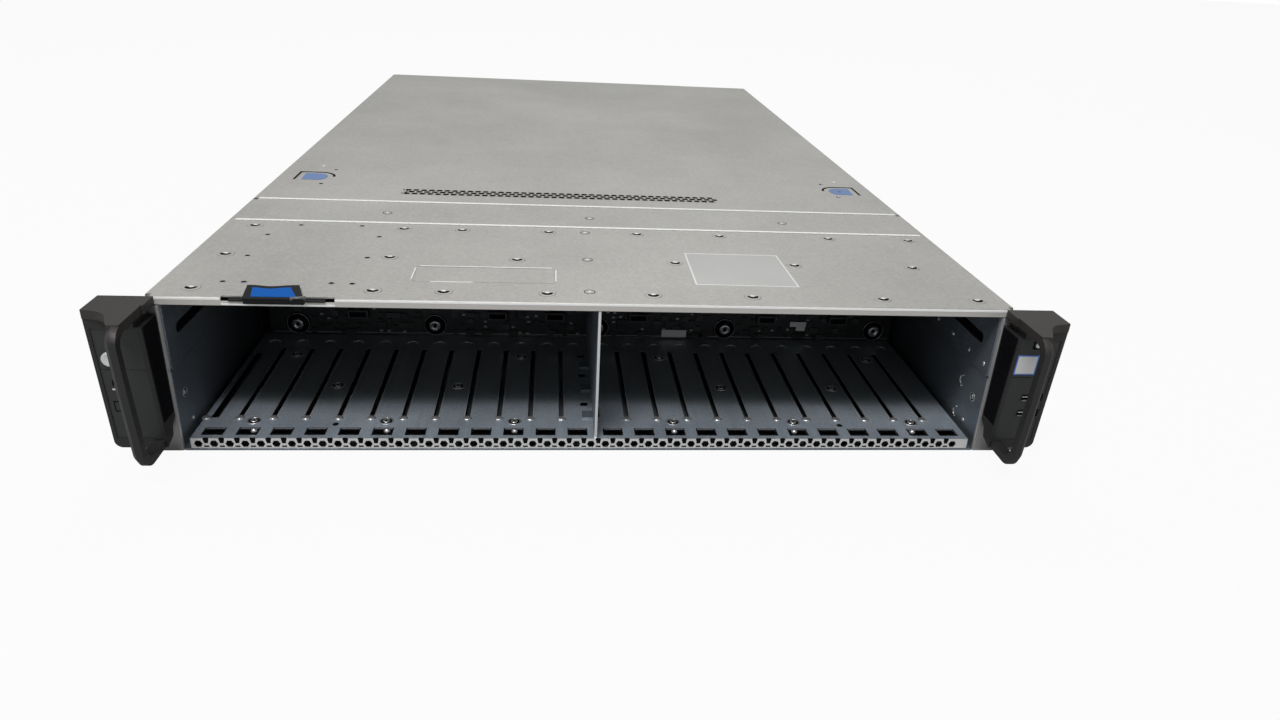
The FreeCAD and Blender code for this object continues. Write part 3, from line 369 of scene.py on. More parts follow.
def add_turned(name, profile, sides, places, finish, body="chassis"):
    """One piece of equal turned parts, such as rivets, at each place."""
    mesh = bmesh.new()
    turned(mesh, profile, sides)
    repeat(mesh, places)
    add_piece(name, mesh, [finish], body)


def add_blocks(name, blocks, finishes, body="chassis"):
    """One piece of blocks, each given as two corners and, where needed, bevel and material."""
    mesh = bmesh.new()
    for given in blocks:
        block(mesh, *given)
    add_piece(name, mesh, finishes, body)


SHEET_EDGE = 0.0002
zinc = zinc_steel("zinc_coat")
bright = steel("bright_steel", 1600, [(0.6, 0.6, 0.6), (0.78, 0.78, 0.77)], (0.22, 0.38),
               0.85, (0.05, 0.0002), 40)
# Near-black with little sheen: painted shade in holes, slots, gaps, recesses and under the vent
# band, and the own colour of a few black parts such as the washers under the board screws.
painted_shade_and_black = steel("painted_shade_and_black", 900, [(0.002, 0.002, 0.003), (0.005, 0.005, 0.006)],
                    (0.7, 0.9), 0, specular=0.08)
# Near-white used only as painted highlight: on rolled edges, the front lip, raised lines and glints
# on screws, rivets and marks.
painted_highlight = steel("painted_highlight", 1600, [(0.84, 0.84, 0.82), (0.92, 0.92, 0.9)], (0.35, 0.45), 0.1)
dress(zinc, SHEET_EDGE, "chassis_tray")
dress(bright, 0.0003, "rail_studs")

tray_side = 220.2
add_turned("tray_rivets", [(0, 0.7), (1.6, 0.6), (2.4, 0.3), (2.8, 0), (0, 0)], 14,
           [at(side * tray_side, y, z, SIDES[side])
            for side in SIDES for z in (12, 62) for y in range(110, 740, 70)],
           zinc)


def add_cross_screws(name, radius, height, places, body="chassis"):
    """Pan-head machine screws with a cross recess painted dark as shade."""
    screw = bmesh.new()
    turned(screw, [(0, height), (radius * 0.6, height * 0.96), (radius * 0.88, height * 0.7),
                   (radius, height * 0.3), (radius, 0), (0, 0)], 18)
    arm = radius * 0.5
    half = radius * 0.13
    floor = height * 0.5
    top = height + 0.03
    block(screw, (-arm, -half, floor), (arm, half, top), 0, 1)
    block(screw, (-half, -arm, floor), (half, arm, top), 0, 1)
    repeat(screw, places)
    add_piece(name, screw, [bright, painted_shade_and_black], body)


add_cross_screws("tray_screws", 3, 1,
                 [at(side * tray_side, y, 66, SIDES[side])
                  for side in SIDES for y in (40, 145, 300, 540, 745)])

# ---- Bay floor ----
# Slotted zinc-coated plate on which the drive carriers slide. Its front leg is a strip of hexagon
# holes with a painted highlight on its face; small pressed bumps and half-moon stops are raised
# from the plate.
floor_z = 7.35
bay_count = 24
bay_pitch = 17.42
divider_gap = 1.03
bay_centres = [(i - (bay_count - 1) / 2) * bay_pitch
               + (-divider_gap if i < bay_count / 2 else divider_gap) for i in range(bay_count)]
slot_places = [x - bay_pitch / 2 for i, x in enumerate(bay_centres) if i != bay_count / 2]

# The floor zinc is painted lighter than the other zinc, as if lit by the front lamp. The zones
# paint the lid's shadow from 38 to 47 mm deep, near-black shade below the plate's top in its holes
# and slots, and a near-white highlight on its front face.
floor_zinc = zinc_steel("floor_zinc", 2.3)
shade_zone(floor_zinc, "Y", bay_front + 0.038, bay_front + 0.047, (0.36, 0.4, 0.42))
shade_zone(floor_zinc, "Z", 0.0072, 0.007, (0.003, 0.003, 0.004), 0.8)
shade_zone(floor_zinc, "Y", bay_front + 0.0003, bay_front + 0.0001, (0.9, 0.9, 0.88), 0.45)
dress(floor_zinc, 0, "bay_floor")

add_turned("floor_bumps", [(0, 0.9), (1.2, 0.85), (2.1, 0.5), (2.7, 0), (0, 0)], 14,
           [at(x, 22.4, floor_z) for x in slot_places], bright)

# Lighter zinc for the raised slot rims and the wall-post edges: a painted highlight, painted back
# towards shade from 30 to 60 mm deep.
rim_zinc_painted_light = steel("rim_zinc_painted_light", 900, [(0.5, 0.51, 0.52), (0.6, 0.61, 0.62)], (0.3, 0.4), 0.6,
                 (0.05, 0.0002))
shade_zone(rim_zinc_painted_light, "Y", bay_front + 0.03, bay_front + 0.06, (0.36, 0.39, 0.4))
slot_start, slot_end = 24.5, 114
catch_half = 4.85
# Raised lips beside each slot and along the back edge of each catch hole, lighter as painted
# highlight.
add_blocks("floor_rims",
           [((x + 1.45, slot_start, floor_z), (x + 2.05, slot_end, floor_z + 0.3), 0.08)
            for x in slot_places[1:]]
           + [((x - 1.8, slot_start, floor_z), (x - 1.45, slot_end, floor_z + 0.15))
              for x in slot_places[1:]]
           + [((x - catch_half, 10.45, floor_z), (x + catch_half, 10.85, floor_z + 0.12))
              for x in bay_centres], [rim_zinc_painted_light])

hex_count = 52
hex_pitch = 7.875
hex_z = 4.075
hex_radius = 2.2
strip_middle = -2.5
notch_half = hex_radius * 0.42
notch_low = hex_z + 2.27 - hex_radius * 0.866
notch_top = floor_z + 0.03
notch_slant = 0.62
skin_y = -0.06
# Near-black pieces on the hexagon strip, in the notches of its top edge and in a small slot under
# each hole: painted shade in the openings.
notches = bmesh.new()
for i in range(hex_count):
    x = strip_middle + (i - (hex_count - 1) / 2) * hex_pitch
    sheet(notches, [(skin_y, notch_top), (skin_y, notch_low), (0, notch_low), (0, notch_top)],
          x - notch_half, x + notch_half, plane="yz")
    for side in SIDES:
        edge = x + side * notch_half
        slanted = x + side * (notch_half + notch_slant)
        sheet(notches, [(edge, notch_low), (slanted, notch_top), (edge, notch_top)], skin_y, 0,
              plane="xz")
    block(notches, (x - notch_half - 0.3, -0.02, floor_z),
          (x + notch_half + 0.3, 0.7, floor_z + 0.05))
    block(notches, (x - 1.3, skin_y, 2.15), (x + 1.3, 0, 3.05), 0.02)
add_piece("strip_notches", notches, [painted_shade_and_black])

add_turned("catch_heads", [(0, 2.3), (0.9, 2.1), (1.6, 1.3), (1.9, 0), (0, 0)], 16,
           [at(side * x, 7.8, floor_z - 0.6) for side in SIDES for x in (44, 112.1, 181)],
           bright)

catch_front, catch_back = 4.9, 10.4
rim_side = 0.6
rim_lap = 0.05
# Near-black frames round each catch hole: painted shade on the hole's edges.
catch_rims = bmesh.new()
for x in bay_centres:
    left, right = x - catch_half, x + catch_half
    for low_x, low_y, high_x, high_y in (
            (left - rim_side, catch_front - 1.3, right + rim_side, catch_front + rim_lap),
            (left - rim_side, catch_back - rim_lap, right + rim_side, catch_back + 1.1),
            (left - rim_side, catch_front, left + rim_lap, catch_back),
            (right - rim_lap, catch_front, right + rim_side, catch_back)):
        block(catch_rims, (low_x, low_y, floor_z - 0.02), (high_x, high_y, floor_z + 0.03))
add_piece("catch_rims", catch_rims, [painted_shade_and_black])


def add_half_moons(name, depth, places):
    """Half-moon stops pressed up from a sheet; depth squeezes them front to back."""
    moon = bmesh.new()
    turned(moon, [(2.9, 0), (2.9, 0.5), (3.5, 0.5), (3.5, 0)], 10, angle=math.pi)
    bmesh.ops.scale(moon, vec=(1, depth, 1), verts=moon.verts)
    repeat(moon, places)
    add_piece(name, moon, [bright])


add_half_moons("floor_stops", 0.8, [at(x, 123.2, floor_z) for x in bay_centres])


def add_ring_screws(name, places):
    """Flush screws: a thin pressed ring round a dished head; dish and recess are painted shade."""
    screw = bmesh.new()
    turned(screw, [(3, 0), (3.2, 0.25), (3.8, 0.25), (4, 0)], 20)
    turned(screw, [(0, 0.08), (3, 0.08), (3, 0), (0, 0)], 16, 1)
    turned(screw, [(0, 0.35), (0.8, 0.35), (1.4, 0.6), (1.9, 0.35), (2, 0), (0, 0)], 16)
    turned(screw, [(0, 0.42), (0.75, 0.42), (0.75, 0.3), (0, 0.3)], 10, 1)
    repeat(screw, places)
    add_piece(name, screw, [bright, painted_shade_and_black])


front_row = [(side * x, 19) for side in SIDES for x in (44.6, 114.2, 184.2)]
middle_row = [(side * x, 62) for side in SIDES for x in (79.4, 149.1)]
rear_row = [(x, 104.4) for x in (-182.8, -43.2, 45.7, 184.8)]
add_ring_screws("floor_screws", [at(x, y, floor_z) for x, y in front_row + middle_row + rear_row])
# Two holes in the floor plate, drawn as near-black discs of painted shade.
add_turned("floor_holes", [(0, 0.04), (1.7, 0.04), (1.7, 0), (0, 0)], 14,
           [at(side * 140.6, 15.3, floor_z) for side in SIDES], painted_shade_and_black)

# ---- Bay walls, ceiling and divider ----
# Zinc-coated side walls with a long air slot, riveted to the floor, and a ceiling plate above.
# The centre partition is one thin sheet whose cut front edge is bare steel, painted brighter
# still as a highlight.
wall_x = 214.5
wall_zinc = zinc_steel("wall_zinc")
# Painted shade: the walls darken from 25 to 100 mm deep in the bays.
shade_zone(wall_zinc, "Y", bay_front + 0.025, bay_front + 0.1, (0.11, 0.12, 0.13))
# Painted highlight: a lighter band on the walls' front edges.
shade_zone(wall_zinc, "Y", bay_front + 0.0013, bay_front + 0.0009, (0.42, 0.405, 0.395), 0.5)
dress(wall_zinc, SHEET_EDGE, "bay_wall_left", "bay_wall_right", "bay_ceiling")
divider_zinc = zinc_steel("divider_zinc")
# Bare cut edge with a painted highlight: the divider's front 2 mm turn near-white.
shade_zone(divider_zinc, "Y", bay_front + 0.0022, bay_front + 0.0014, (0.85, 0.85, 0.84), 0.3)
dress(divider_zinc, SHEET_EDGE, "bay_divider")

add_ring_screws("wall_screws", [at(side * wall_x, 12.5, 28, SIDES[-side]) @ Matrix.Scale(0.7, 4)
                                for side in SIDES])
add_turned("wall_rivets", [(0, 0.7), (1, 0.6), (1.6, 0), (0, 0)], 12,
           [at(side * wall_x, 17, 10.5, SIDES[-side]) for side in SIDES]
           + [at(wall_x - 0.6, y, 51.3, "left") for y in (7.5, 27, 49.5, 72)],
           bright)
add_half_moons("wall_stops", 1, [at(wall_x, 27, z, "left") for z in (10.6, 31)])

post_x = wall_x + 0.35
# Thin strips along the front edges of the wall posts: painted highlight.
add_blocks("post_edges", [((x - 0.3, skin_y, 8), (x + 0.3, 0.3, 81), 0.05)
                          for x in (-post_x, post_x)], [rim_zinc_painted_light])
slot_back_x = wall_x + 0.9
# Near-black plates behind the wall slots: painted shade seen through them.
add_blocks("slot_backs", [((x - 0.2, 12, 58), (x + 0.2, 132, 68))
                          for x in (-slot_back_x, slot_back_x)], [painted_shade_and_black])

# ---- Backplane ----
# Black circuit board across the back of the bays with one upright receptacle per drive. Small
# components are soldered along its lower edge, and captive screws hold it to the cage.
def make_mould_grain():
    """Moulded or printed surface: even fine pits over slow shade changes."""
    group, given, result = make_grain("moulded_grain", {"Pit Scale": 1800, "Cloud Scale": 22})
    pits = add_node(group, "TexVoronoi")
    cloud = add_node(group, "TexNoise", Detail=4)
    tone = add_node(group, "Mix", Factor=0.7)
    wire(group, (given, "Vector", pits, "Vector"), (given, "Pit Scale", pits, "Scale"),
         (given, "Vector", cloud, "Vector"), (given, "Cloud Scale", cloud, "Scale"),
         (pits, "Distance", tone, "A"), (cloud, "Fac", tone, "B"),
         (tone, 0, result, "Tone"), (cloud, "Fac", result, "Polish"),
         (pits, "Distance", result, "Height"))
    return group


MOULD_GRAIN = make_mould_grain()


def moulded(name, pits, shades, gloss, relief=(0.1, 0.0001), metallic=0, specular=0.5):
    """Moulded plastic, printed film or circuit board."""
    return make_finish(name, MOULD_GRAIN, {"Pit Scale": pits}, shades, gloss, relief, metallic,
                       specular)


SMOOTH = (0.05, 0.0001)
black_mask = moulded("black_mask", 700, [(0.006, 0.007, 0.007), (0.014, 0.015, 0.015)], (0.35, 0.5))
connector_black = moulded("connector_black", 1500,
                          [(0.012, 0.012, 0.012), (0.022, 0.022, 0.022)], (0.45, 0.6))
chip_grey = moulded("chip_grey", 1500, [(0.022, 0.022, 0.024), (0.045, 0.045, 0.047)], (0.4, 0.5))
solder = steel("solder", 1600, [(0.28, 0.28, 0.29), (0.4, 0.4, 0.41)], (0.25, 0.4), 0.7)
label_white = moulded("label_paper", 2500, [(0.62, 0.62, 0.6), (0.7, 0.7, 0.68)],
                      (0.5, 0.6), SMOOTH)
brass = steel("brass", 900, [(0.55, 0.42, 0.18), (0.7, 0.55, 0.26)], (0.25, 0.4), 0.9)
dress(black_mask, 0, "backplane_board")
dress(connector_black, SHEET_EDGE, "drive_connectors")

board_y = 137
board_screw_x = (-189.2, -101.1, 7, 93.8, 198.9)
board_screw_z = 15
# Each board screw sits on a black washer; the dark floor of its socket is painted shade, and a dark
# ring is drawn on its head.
board_screws = bmesh.new()
for profile, sides, material in (
        ([(0, 1), (7, 1), (7.4, 0.8), (7.4, 0), (0, 0)], 28, 0),
        ([(6.8, 0.9), (6.85, 1.12), (7.15, 1.12), (7.2, 0.9)], 28, 2),
        ([(0, 2), (1.3, 2), (1.7, 3), (3, 3.2), (3.7, 2.6), (3.8, 1), (0, 1)], 22, 1),
        ([(2.3, 3.1), (2.4, 3.25), (2.7, 3.25), (2.8, 3)], 22, 0),
        ([(0, 2.1), (1.3, 2.1), (1.3, 1.9), (0, 1.9)], 10, 0)):
    turned(board_screws, profile, sides, material)
repeat(board_screws, [at(x, board_y, board_screw_z, "front") for x in board_screw_x])
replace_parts(add_piece("board_screws", board_screws, [painted_shade_and_black, bright, solder]),
            "backplane_screws")

# Width, height and thickness in mm, and finish, of each kind of small component.
component_kinds = ((1.6, 0.8, 0.5, 1), (2, 1.2, 0.8, 2), (3.2, 1.6, 1.2, 0), (3, 3, 1, 0),
                   (4.5, 3.4, 1.4, 1), (6, 4.2, 1.2, 0))
screw_clear = 10.5
gap_share = 0.35
jitter = 0.8
placing = random.Random(24)
board_parts = bmesh.new()
for row in range(5):
    row_z = 10.4 + row * 3.9
    for column in range(86):
        x = -203 + column * 4.8 + placing.uniform(-jitter, jitter)
        z = row_z + placing.uniform(-jitter, jitter)
        near_screw = min(math.hypot(x - sx, z - board_screw_z) for sx in board_screw_x)
        width, height, thickness, material = placing.choice(component_kinds)
        if near_screw < screw_clear or placing.random() < gap_share:
            continue
        block(board_parts, (x - width / 2, board_y - thickness, z - height / 2),
              (x + width / 2, board_y, z + height / 2), 0, material)
add_piece("board_parts", board_parts, [connector_black, chip_grey, solder])

board_edge = bmesh.new()
block(board_edge, (-205, board_y - 0.3, 8.7), (211, board_y, 9.1))
for column in range(88):
    x = -204 + column * 4.7 + placing.uniform(-1.2, 1.2)
    width = placing.uniform(0.7, 2.2)
    if placing.random() < 0.6:
        block(board_edge, (x - width / 2, board_y - 0.9, 28.6 + placing.uniform(-jitter, jitter)),
              (x + width / 2, board_y, 30.2 + placing.uniform(-0.5, 0.8)))
add_piece("board_edge", board_edge, [solder])

socket_x = (-150, -60, -22, 34, 122, 172)
# The sockets' mouths are near-black blocks of painted shade.
add_blocks("board_sockets",
           [((x - 6.5, board_y - 4.2, 20.2), (x + 6.5, board_y, 26), 0.25) for x in socket_x]
           + [((x - 5.2, board_y - 4.4, 21.4), (x + 5.2, board_y - 4, 24.8), 0, 1)
              for x in socket_x], [chip_grey, painted_shade_and_black])

tongues = bmesh.new()
block(tongues, (-0.7, -10.4, 34), (0.7, -8.4, 66), 0.1)
for i in range(12):
    z = 35 + i * 2.5
    block(tongues, (-0.85, -10.3, z), (0.85, -8.6, z + 1), 0, 1)
repeat(tongues, [Matrix.Translation((x, board_y, 0)) for x in bay_centres])
add_piece("connector_tongues", tongues, [connector_black, brass])

add_blocks("board_labels",
           [((low_x, board_y - 1.6, low_z), (high_x, board_y - 1.45, high_z))
            for low_x, high_x, low_z, high_z in (
                (50.4, 67.4, 8.8, 14), (139.2, 150.4, 17.6, 21.2), (143.8, 150, 14.6, 17.7))],
           [label_white])

# ---- Covers ----
# Painted steel lids: two fixed ones over the drives and a sliding one behind. Dimpled screws
# and flush rivets hold them; the sliding one has a band of hexagon air holes near its front.
lid_z = 86.3
LID_EDGE = 0.00015


def lid_steel(name):
    """Warm grey satin paint on steel, slightly mottled."""
    return steel(name, 620, [(0.318, 0.309, 0.286), (0.45, 0.438, 0.407)], (0.5, 0.56), 0.25,
                 (0.16, 0.0003), 9)


lid = lid_steel("lid_steel")
front_lid = lid_steel("front_lid_steel")
# Painted light: the front lip's face is painted lighter than the top of the lid, as the front lamp
# lights it.
shade_zone(front_lid, "Y", bay_front + 0.0006, bay_front + 0.0003, (0.54, 0.52, 0.485))
dress(front_lid, LID_EDGE, "front_cover")
dress(lid, LID_EDGE, "middle_cover", "rear_cover", "cover_latch_left", "cover_latch_right",
      "cover_skirt_left", "cover_skirt_right")

# Near-white strips along the bend of the front lip, and along the lip's edge under the tag slot:
# painted highlight.
add_blocks("lip_line", [((-217.8, -0.14, 84.6), (-185.2, 0.3, 85.9), 0.25),
                        ((-130.8, -0.14, 84.6), (217.8, 0.3, 85.9), 0.25),
                        ((-185, -0.12, 82.2), (-131, 0.3, 83.3), 0.1)],
           [painted_highlight])

# Each lid screw: a dished head in the lid's paint, a near-black crescent of painted shade in its
# dimple and a small half ring of painted highlight.
lid_screws = bmesh.new()
turned(lid_screws, [(0, 0.12), (2.6, 0.12), (3, 0.3), (3.6, 0.36), (4.3, 0.2), (4.6, 0),
                    (0, 0)], 22)
turned(lid_screws, [(0.2, 0.1), (0.3, 0.42), (1.3, 0.42), (1.4, 0.1)], 12, 2, math.pi)
known = set(lid_screws.verts)
turned(lid_screws, [(0.7, 0.1), (0.8, 0.3), (3.1, 0.3), (3.2, 0.1)], 16, 1, math.radians(210))
move_new(lid_screws, known, turn(165, "Z"))
lid_rows = ((12.7, (-202.7, -114.8, -79.5, -26.9, 28.2, 81, 152.2, 204.9)),
            (65, (-202.6, -114.6, -44.2, 46.1, 116.3, 187.6)),
            (118.7, (-202.4, -114.5, -79.5, -26.6, 28.3, 80.8, 151.6, 204.6)))
repeat(lid_screws, [at(x, y, lid_z) for y, row in lid_rows for x in row])
add_piece("lid_screws", lid_screws, [lid, painted_shade_and_black, painted_highlight])

# Pilot holes: near-black discs of painted shade, each in a raised ring of the lid's paint.
lid_holes = bmesh.new()
turned(lid_holes, [(0, 0.05), (1.35, 0.05), (1.35, 0), (0, 0)], 14, 1)
turned(lid_holes, [(1.35, 0), (1.45, 0.16), (1.8, 0.12), (1.95, 0)], 14)
hole_places = ((-176.2, 121), (-140.4, 122), (-190.4, 100.9), (-126.5, 101.2), (-190.4, 62.6),
               (-126.6, 63), (-190.6, 21.8), (-180.2, 21.7), (-137.1, 21.9), (-126.6, 21.6))
repeat(lid_holes, [at(x, y, lid_z) for x, y in hole_places])
add_piece("lid_holes", lid_holes, [lid, painted_shade_and_black])

# Flush rivets in the lid's paint, each with a small dot of painted highlight and a thin ring of
# painted shade round it.
lid_rivets = bmesh.new()
turned(lid_rivets, [(0, 0.3), (1.6, 0.28), (2.4, 0.18), (2.8, 0), (0, 0)], 18)
turned(lid_rivets, [(0, 0.36), (0.7, 0.36), (0.8, 0.2)], 10, 1)
turned(lid_rivets, [(2.75, 0.04), (2.8, 0.12), (3, 0.12), (3.05, 0.02)], 18, 2)
rivet_places = ((-130, 152), (0, 151), (129, 151), (-4.1, 119), (-4.3, 67.5), (-4.9, 16))
repeat(lid_rivets, [at(x, y, lid_z) for x, y in rivet_places])
add_piece("lid_rivets", lid_rivets, [lid, painted_highlight, painted_shade_and_black])

label_film = moulded("label_film", 2500, [(0.4, 0.395, 0.375), (0.45, 0.445, 0.425)],
                     (0.4, 0.5), SMOOTH)
lid_label = bmesh.new()
sheet(lid_label, [(53, 29.6), (110.4, 28.4), (109.6, 82.4), (53.6, 83.2)], lid_z, lid_z + 0.12, 1)
sheet(lid_label, [(54, 30.6), (109.4, 29.4), (108.7, 81.2), (54.5, 82)], lid_z, lid_z + 0.16)
add_piece("lid_label", lid_label, [label_film, label_white])

# Near-white lines on the edges of the pressed rectangle: painted highlight.
add_blocks("press_line", [((-96, 50.6, lid_z), (-24.5, 51.4, lid_z + 0.3), 0.1),
                          ((-88, 26.6, lid_z), (-66, 27.2, lid_z + 0.2), 0.08)]
           + [((x - 0.3, 30, lid_z), (x + 0.3, 48.5, lid_z + 0.2), 0.08)
              for x in (-98.2, -22.4)], [painted_highlight])


def add_hem(name, front_y, seam_y, body):
    """Lap of one lid over the sheet before it; a painted highlight runs along its rolled front
    edge.
    """
    half = 217
    under = lid_z + 0.02
    add_blocks(name, [((-half, front_y, under), (half, front_y + 2, lid_z + 0.6), 0.2),
                      ((-half, front_y + 1.6, under), (half, seam_y + 1, lid_z + 0.3), 0.08, 1)],
               [painted_highlight, lid], body)


add_hem("middle_cover_hem", 128.4, 133.3, "chassis")
add_hem("rear_cover_hem", 177.4, 180.9, "rear_cover")

# Near-black notches of painted shade at the ends of the rear hem.
add_blocks("hem_notches", [((x - 1.2, 176, lid_z), (x + 1.2, 178, lid_z + 0.1))
                           for x in (-218.8, 218.8)], [painted_shade_and_black])

# One rectangular tile holds one hexagon hole whose wall is painted near-black as shade; shifted
# rows of tiles make the band, so neighbouring tiles share their edges.
vent_pitch = 5.354
vent_row = 4.7
vent_columns = 41
vent_left = -125
vent_middle = 205.6
vent_depth = 1.2
hexagon = [(2.45 * math.cos(math.radians(60 * i)), 2.4 * math.sin(math.radians(60 * i)))
           for i in range(6)]
half_x = vent_pitch / 2
half_y = vent_row / 2
tile = [(half_x, 0), (half_x, half_y), (-half_x, half_y), (-half_x, 0), (-half_x, -half_y),
        (half_x, -half_y)]
vent_strip = bmesh.new()
inner = [vent_strip.verts.new((x, y, 0)) for x, y in hexagon]
outer = [vent_strip.verts.new((x, y, 0)) for x, y in tile]
for ring in (inner, outer):
    for i in range(6):
        vent_strip.edges.new((ring[i - 1], ring[i]))
bmesh.ops.bridge_loops(vent_strip, edges=vent_strip.edges[:])
rims = [edge for edge in vent_strip.edges if all(vert in inner for vert in edge.verts)]
walls = bmesh.ops.extrude_edge_only(vent_strip, edges=rims)["geom"]
for face in walls:
    if isinstance(face, bmesh.types.BMFace):
        face.material_index = 1
bmesh.ops.translate(vent_strip, vec=(0, 0, -vent_depth), verts=only_corners(walls))
repeat(vent_strip, [Matrix.Translation((vent_left + (0 if row else half_x) + i * vent_pitch,
                                        vent_middle + row * vent_row, lid_z + 0.06))
                    for row in (-1, 0, 1) for i in range(vent_columns)])
bmesh.ops.remove_doubles(vent_strip, verts=vent_strip.verts, dist=0.01)
bmesh.ops.recalc_face_normals(vent_strip, faces=vent_strip.faces)
top_face = max(vent_strip.faces, key=lambda face: abs(face.normal.z))
if top_face.normal.z < 0:
    bmesh.ops.reverse_faces(vent_strip, faces=vent_strip.faces)
add_piece("vent_strip", vent_strip, [lid, painted_shade_and_black], "rear_cover")

# Near-black webs of painted shade under the band hide the lid between its slots.
web_low, web_high = lid_z - 0.02, lid_z + 0.03
vent_webs = bmesh.new()
for low_y, high_y in ((198.8, 200.3), (203.5, 204.9), (208.1, 209.5)):
    block(vent_webs, (-127.5, low_y, web_low), (91.7, high_y, web_high))
for y, shift in ((201.9, 0), (206.5, 2.8), (211.1, 0)):
    for x in (-57 + shift, 15.8 + shift):
        block(vent_webs, (x - 1.1, y - 1.75, web_low), (x + 1.1, y + 1.6, web_high))
block(vent_webs, (87.5, 198.8, web_low), (91.6, 212.4, web_high))
block(vent_webs, (91.6, 203.4, web_low), (94.4, 207.8, web_high))
add_piece("vent_webs", vent_webs, [painted_shade_and_black], "rear_cover")

# ---- Cover latches ----
# Spring tabs cut in the sliding cover, each with a blue press pad stuck on. A narrow gap
# round each tab frees it from the sheet, drawn as a strip of painted shade; small pressed marks
# lie about it, drawn as dots of painted shade and painted highlight.
pad_blue = moulded("pad_blue", 1800, [(0.105, 0.175, 0.35), (0.13, 0.21, 0.4)], (0.5, 0.6))
pad_x = 187.2
pad_radius = 7.9
for side, name in SIDES.items():
    pad = bmesh.new()
    arc = [(pad_x + pad_radius - pad_radius * math.cos(a), 241.6 + pad_radius * math.sin(a))
           for a in [math.radians(i * 15) for i in range(7)]]
    outline = [(203.2, 231.4), (204.2, 249.5)] + arc[::-1] + [(pad_x, 235.6), (190.4, 231.4)]
    sheet(pad, [(side * x, y) for x, y in outline], lid_z - 0.1, lid_z + 0.08)
    add_piece(f"latch_pad_{name}", pad, [pad_blue], f"cover_latch_{name}")
# A near-black disc of painted shade marks the hole in the right tab.
add_turned("latch_hole", [(0, 0.12), (0.9, 0.12), (0.9, 0), (0, 0)], 12, [at(195, 240, lid_z)],
           painted_shade_and_black, "cover_latch_right")

gap_width = 1.5
# Strips of near-black round each tab: painted shade in the gap.
latch_gaps = bmesh.new()
for side in SIDES:
    border = [(208.2, 231, 1, 0), (208.2, 253, 1, gap_width), (194.5, 253, 0, gap_width)]
    border += [(194.5 - 11.7 * math.sin(a), 241.3 + 11.7 * math.cos(a), -1.2 * math.sin(a),
                gap_width * math.cos(a)) for a in [math.radians(15 * i) for i in range(1, 7)]]
    for (x0, y0, a0, b0), (x1, y1, a1, b1) in zip(border, border[1:]):
        sheet(latch_gaps, [(side * x0, y0), (side * x1, y1), (side * (x1 + a1), y1 + b1),
                           (side * (x0 + a0), y0 + b0)], lid_z, lid_z + 0.06)
    low_x, high_x = sorted((side * 182.5, side * 183.6))
    block(latch_gaps, (low_x, 230.8, lid_z - 0.02), (high_x, 240.6, lid_z + 0.05), 0, 1)
add_piece("latch_gaps", latch_gaps, [painted_shade_and_black, lid], "rear_cover")

# Pressed marks: near-black dots of painted shade, some with a smaller near-white dot of painted
# highlight.
press_marks = bmesh.new()
for x, y, radius, material in ((-185.6, 262.4, 1.3, 0), (-187.1, 221, 1.5, 0),
                               (-197, 273.7, 1.3, 1), (186.4, 262.2, 1.6, 0),
                               (187, 262.4, 0.8, 1), (189.4, 224.4, 1.7, 0),
                               (189.7, 224.8, 1, 1), (199.6, 271, 1.2, 1)):
    known = set(press_marks.verts)
    top = 0.12 + 0.04 * material
    turned(press_marks, [(0, top), (radius - 0.3, top - 0.02), (radius, 0), (0, 0)], 12, material)
    move_new(press_marks, known, at(x, y, lid_z))
add_piece("press_marks", press_marks, [painted_shade_and_black, painted_highlight], "rear_cover")

# ---- Service tag ----
# Pull-out plastic slip under the front lid, folded back over the lip. The folded end is
# black with a blue centre, and its free edge is a little wavy.
tag_black = moulded("tag_black", 1500, [(0.005, 0.005, 0.006), (0.01, 0.01, 0.011)],
                    (0.6, 0.75), specular=0.2)
tag_blue = moulded("tag_blue", 1500, [(0.001, 0.08, 0.34), (0.003, 0.1, 0.4)], (0.6, 0.7),
                   specular=0.1)
# Grey for the curl of the folded end: a painted highlight on its black plastic.
tag_curl_highlight = moulded("tag_curl_highlight", 1500, [(0.1, 0.1, 0.105), (0.14, 0.14, 0.145)], (0.35, 0.45))
slip_low, slip_high = 84.6, 85.2
fold_z = 87.2
fold_lean = 2.4


def wavy_patch(mesh, shrink, thickness, material):
    """Flat patch with a wavy rear edge and a slanted right side, tilted up to the rear."""
    count = 8
    left = -175.6 + shrink
    right = -150.6 - shrink
    front_y = -4.6 + shrink * 0.8
    rear = []
    for i in range(count + 1):
        share = i / count
        wave = 0.7 * math.cos(share * math.pi * 2.6 - 0.6) + 1.2 * share ** 6
        rear.append((left + (right - left) * share, 12 + wave - shrink))
    front = [(-144.4 - shrink * 1.2, front_y), (-173.4 + shrink, front_y)]
    known = set(mesh.verts)
    sheet(mesh, rear + front, 0, thickness, material)
    move_new(mesh, known, Matrix.Translation((0, 0, fold_z)) @ turn(fold_lean, "X"))


tag = bmesh.new()
block(tag, (-181.5, -1, slip_low), (-135.5, 92, slip_high), 0.1)
block(tag, (-173, -4.7, 84.7), (-144.6, -4.1, 87.8), 0.2)
block(tag, (-173, -4.5, slip_low), (-144.6, -0.8, slip_high), 0.2)
wavy_patch(tag, 0, 0.5, 0)
wavy_patch(tag, 3.4, 0.62, 1)
# A small grey roll at the right front corner is the curl of the folded end, its grey a painted
# highlight.
known = set(tag.verts)
turned(tag, [(0, -3.6), (1, -3.6), (1, 3.6), (0, 3.6)], 12, 2)
move_new(tag, known, Matrix.Translation((-147.4, -3.2, 87.5)) @ turn(12, "Z") @ FACING["right"])
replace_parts(add_piece("tag_slip", tag, [tag_black, tag_blue, tag_curl_highlight],
                      "service_tag"), "service_tag")

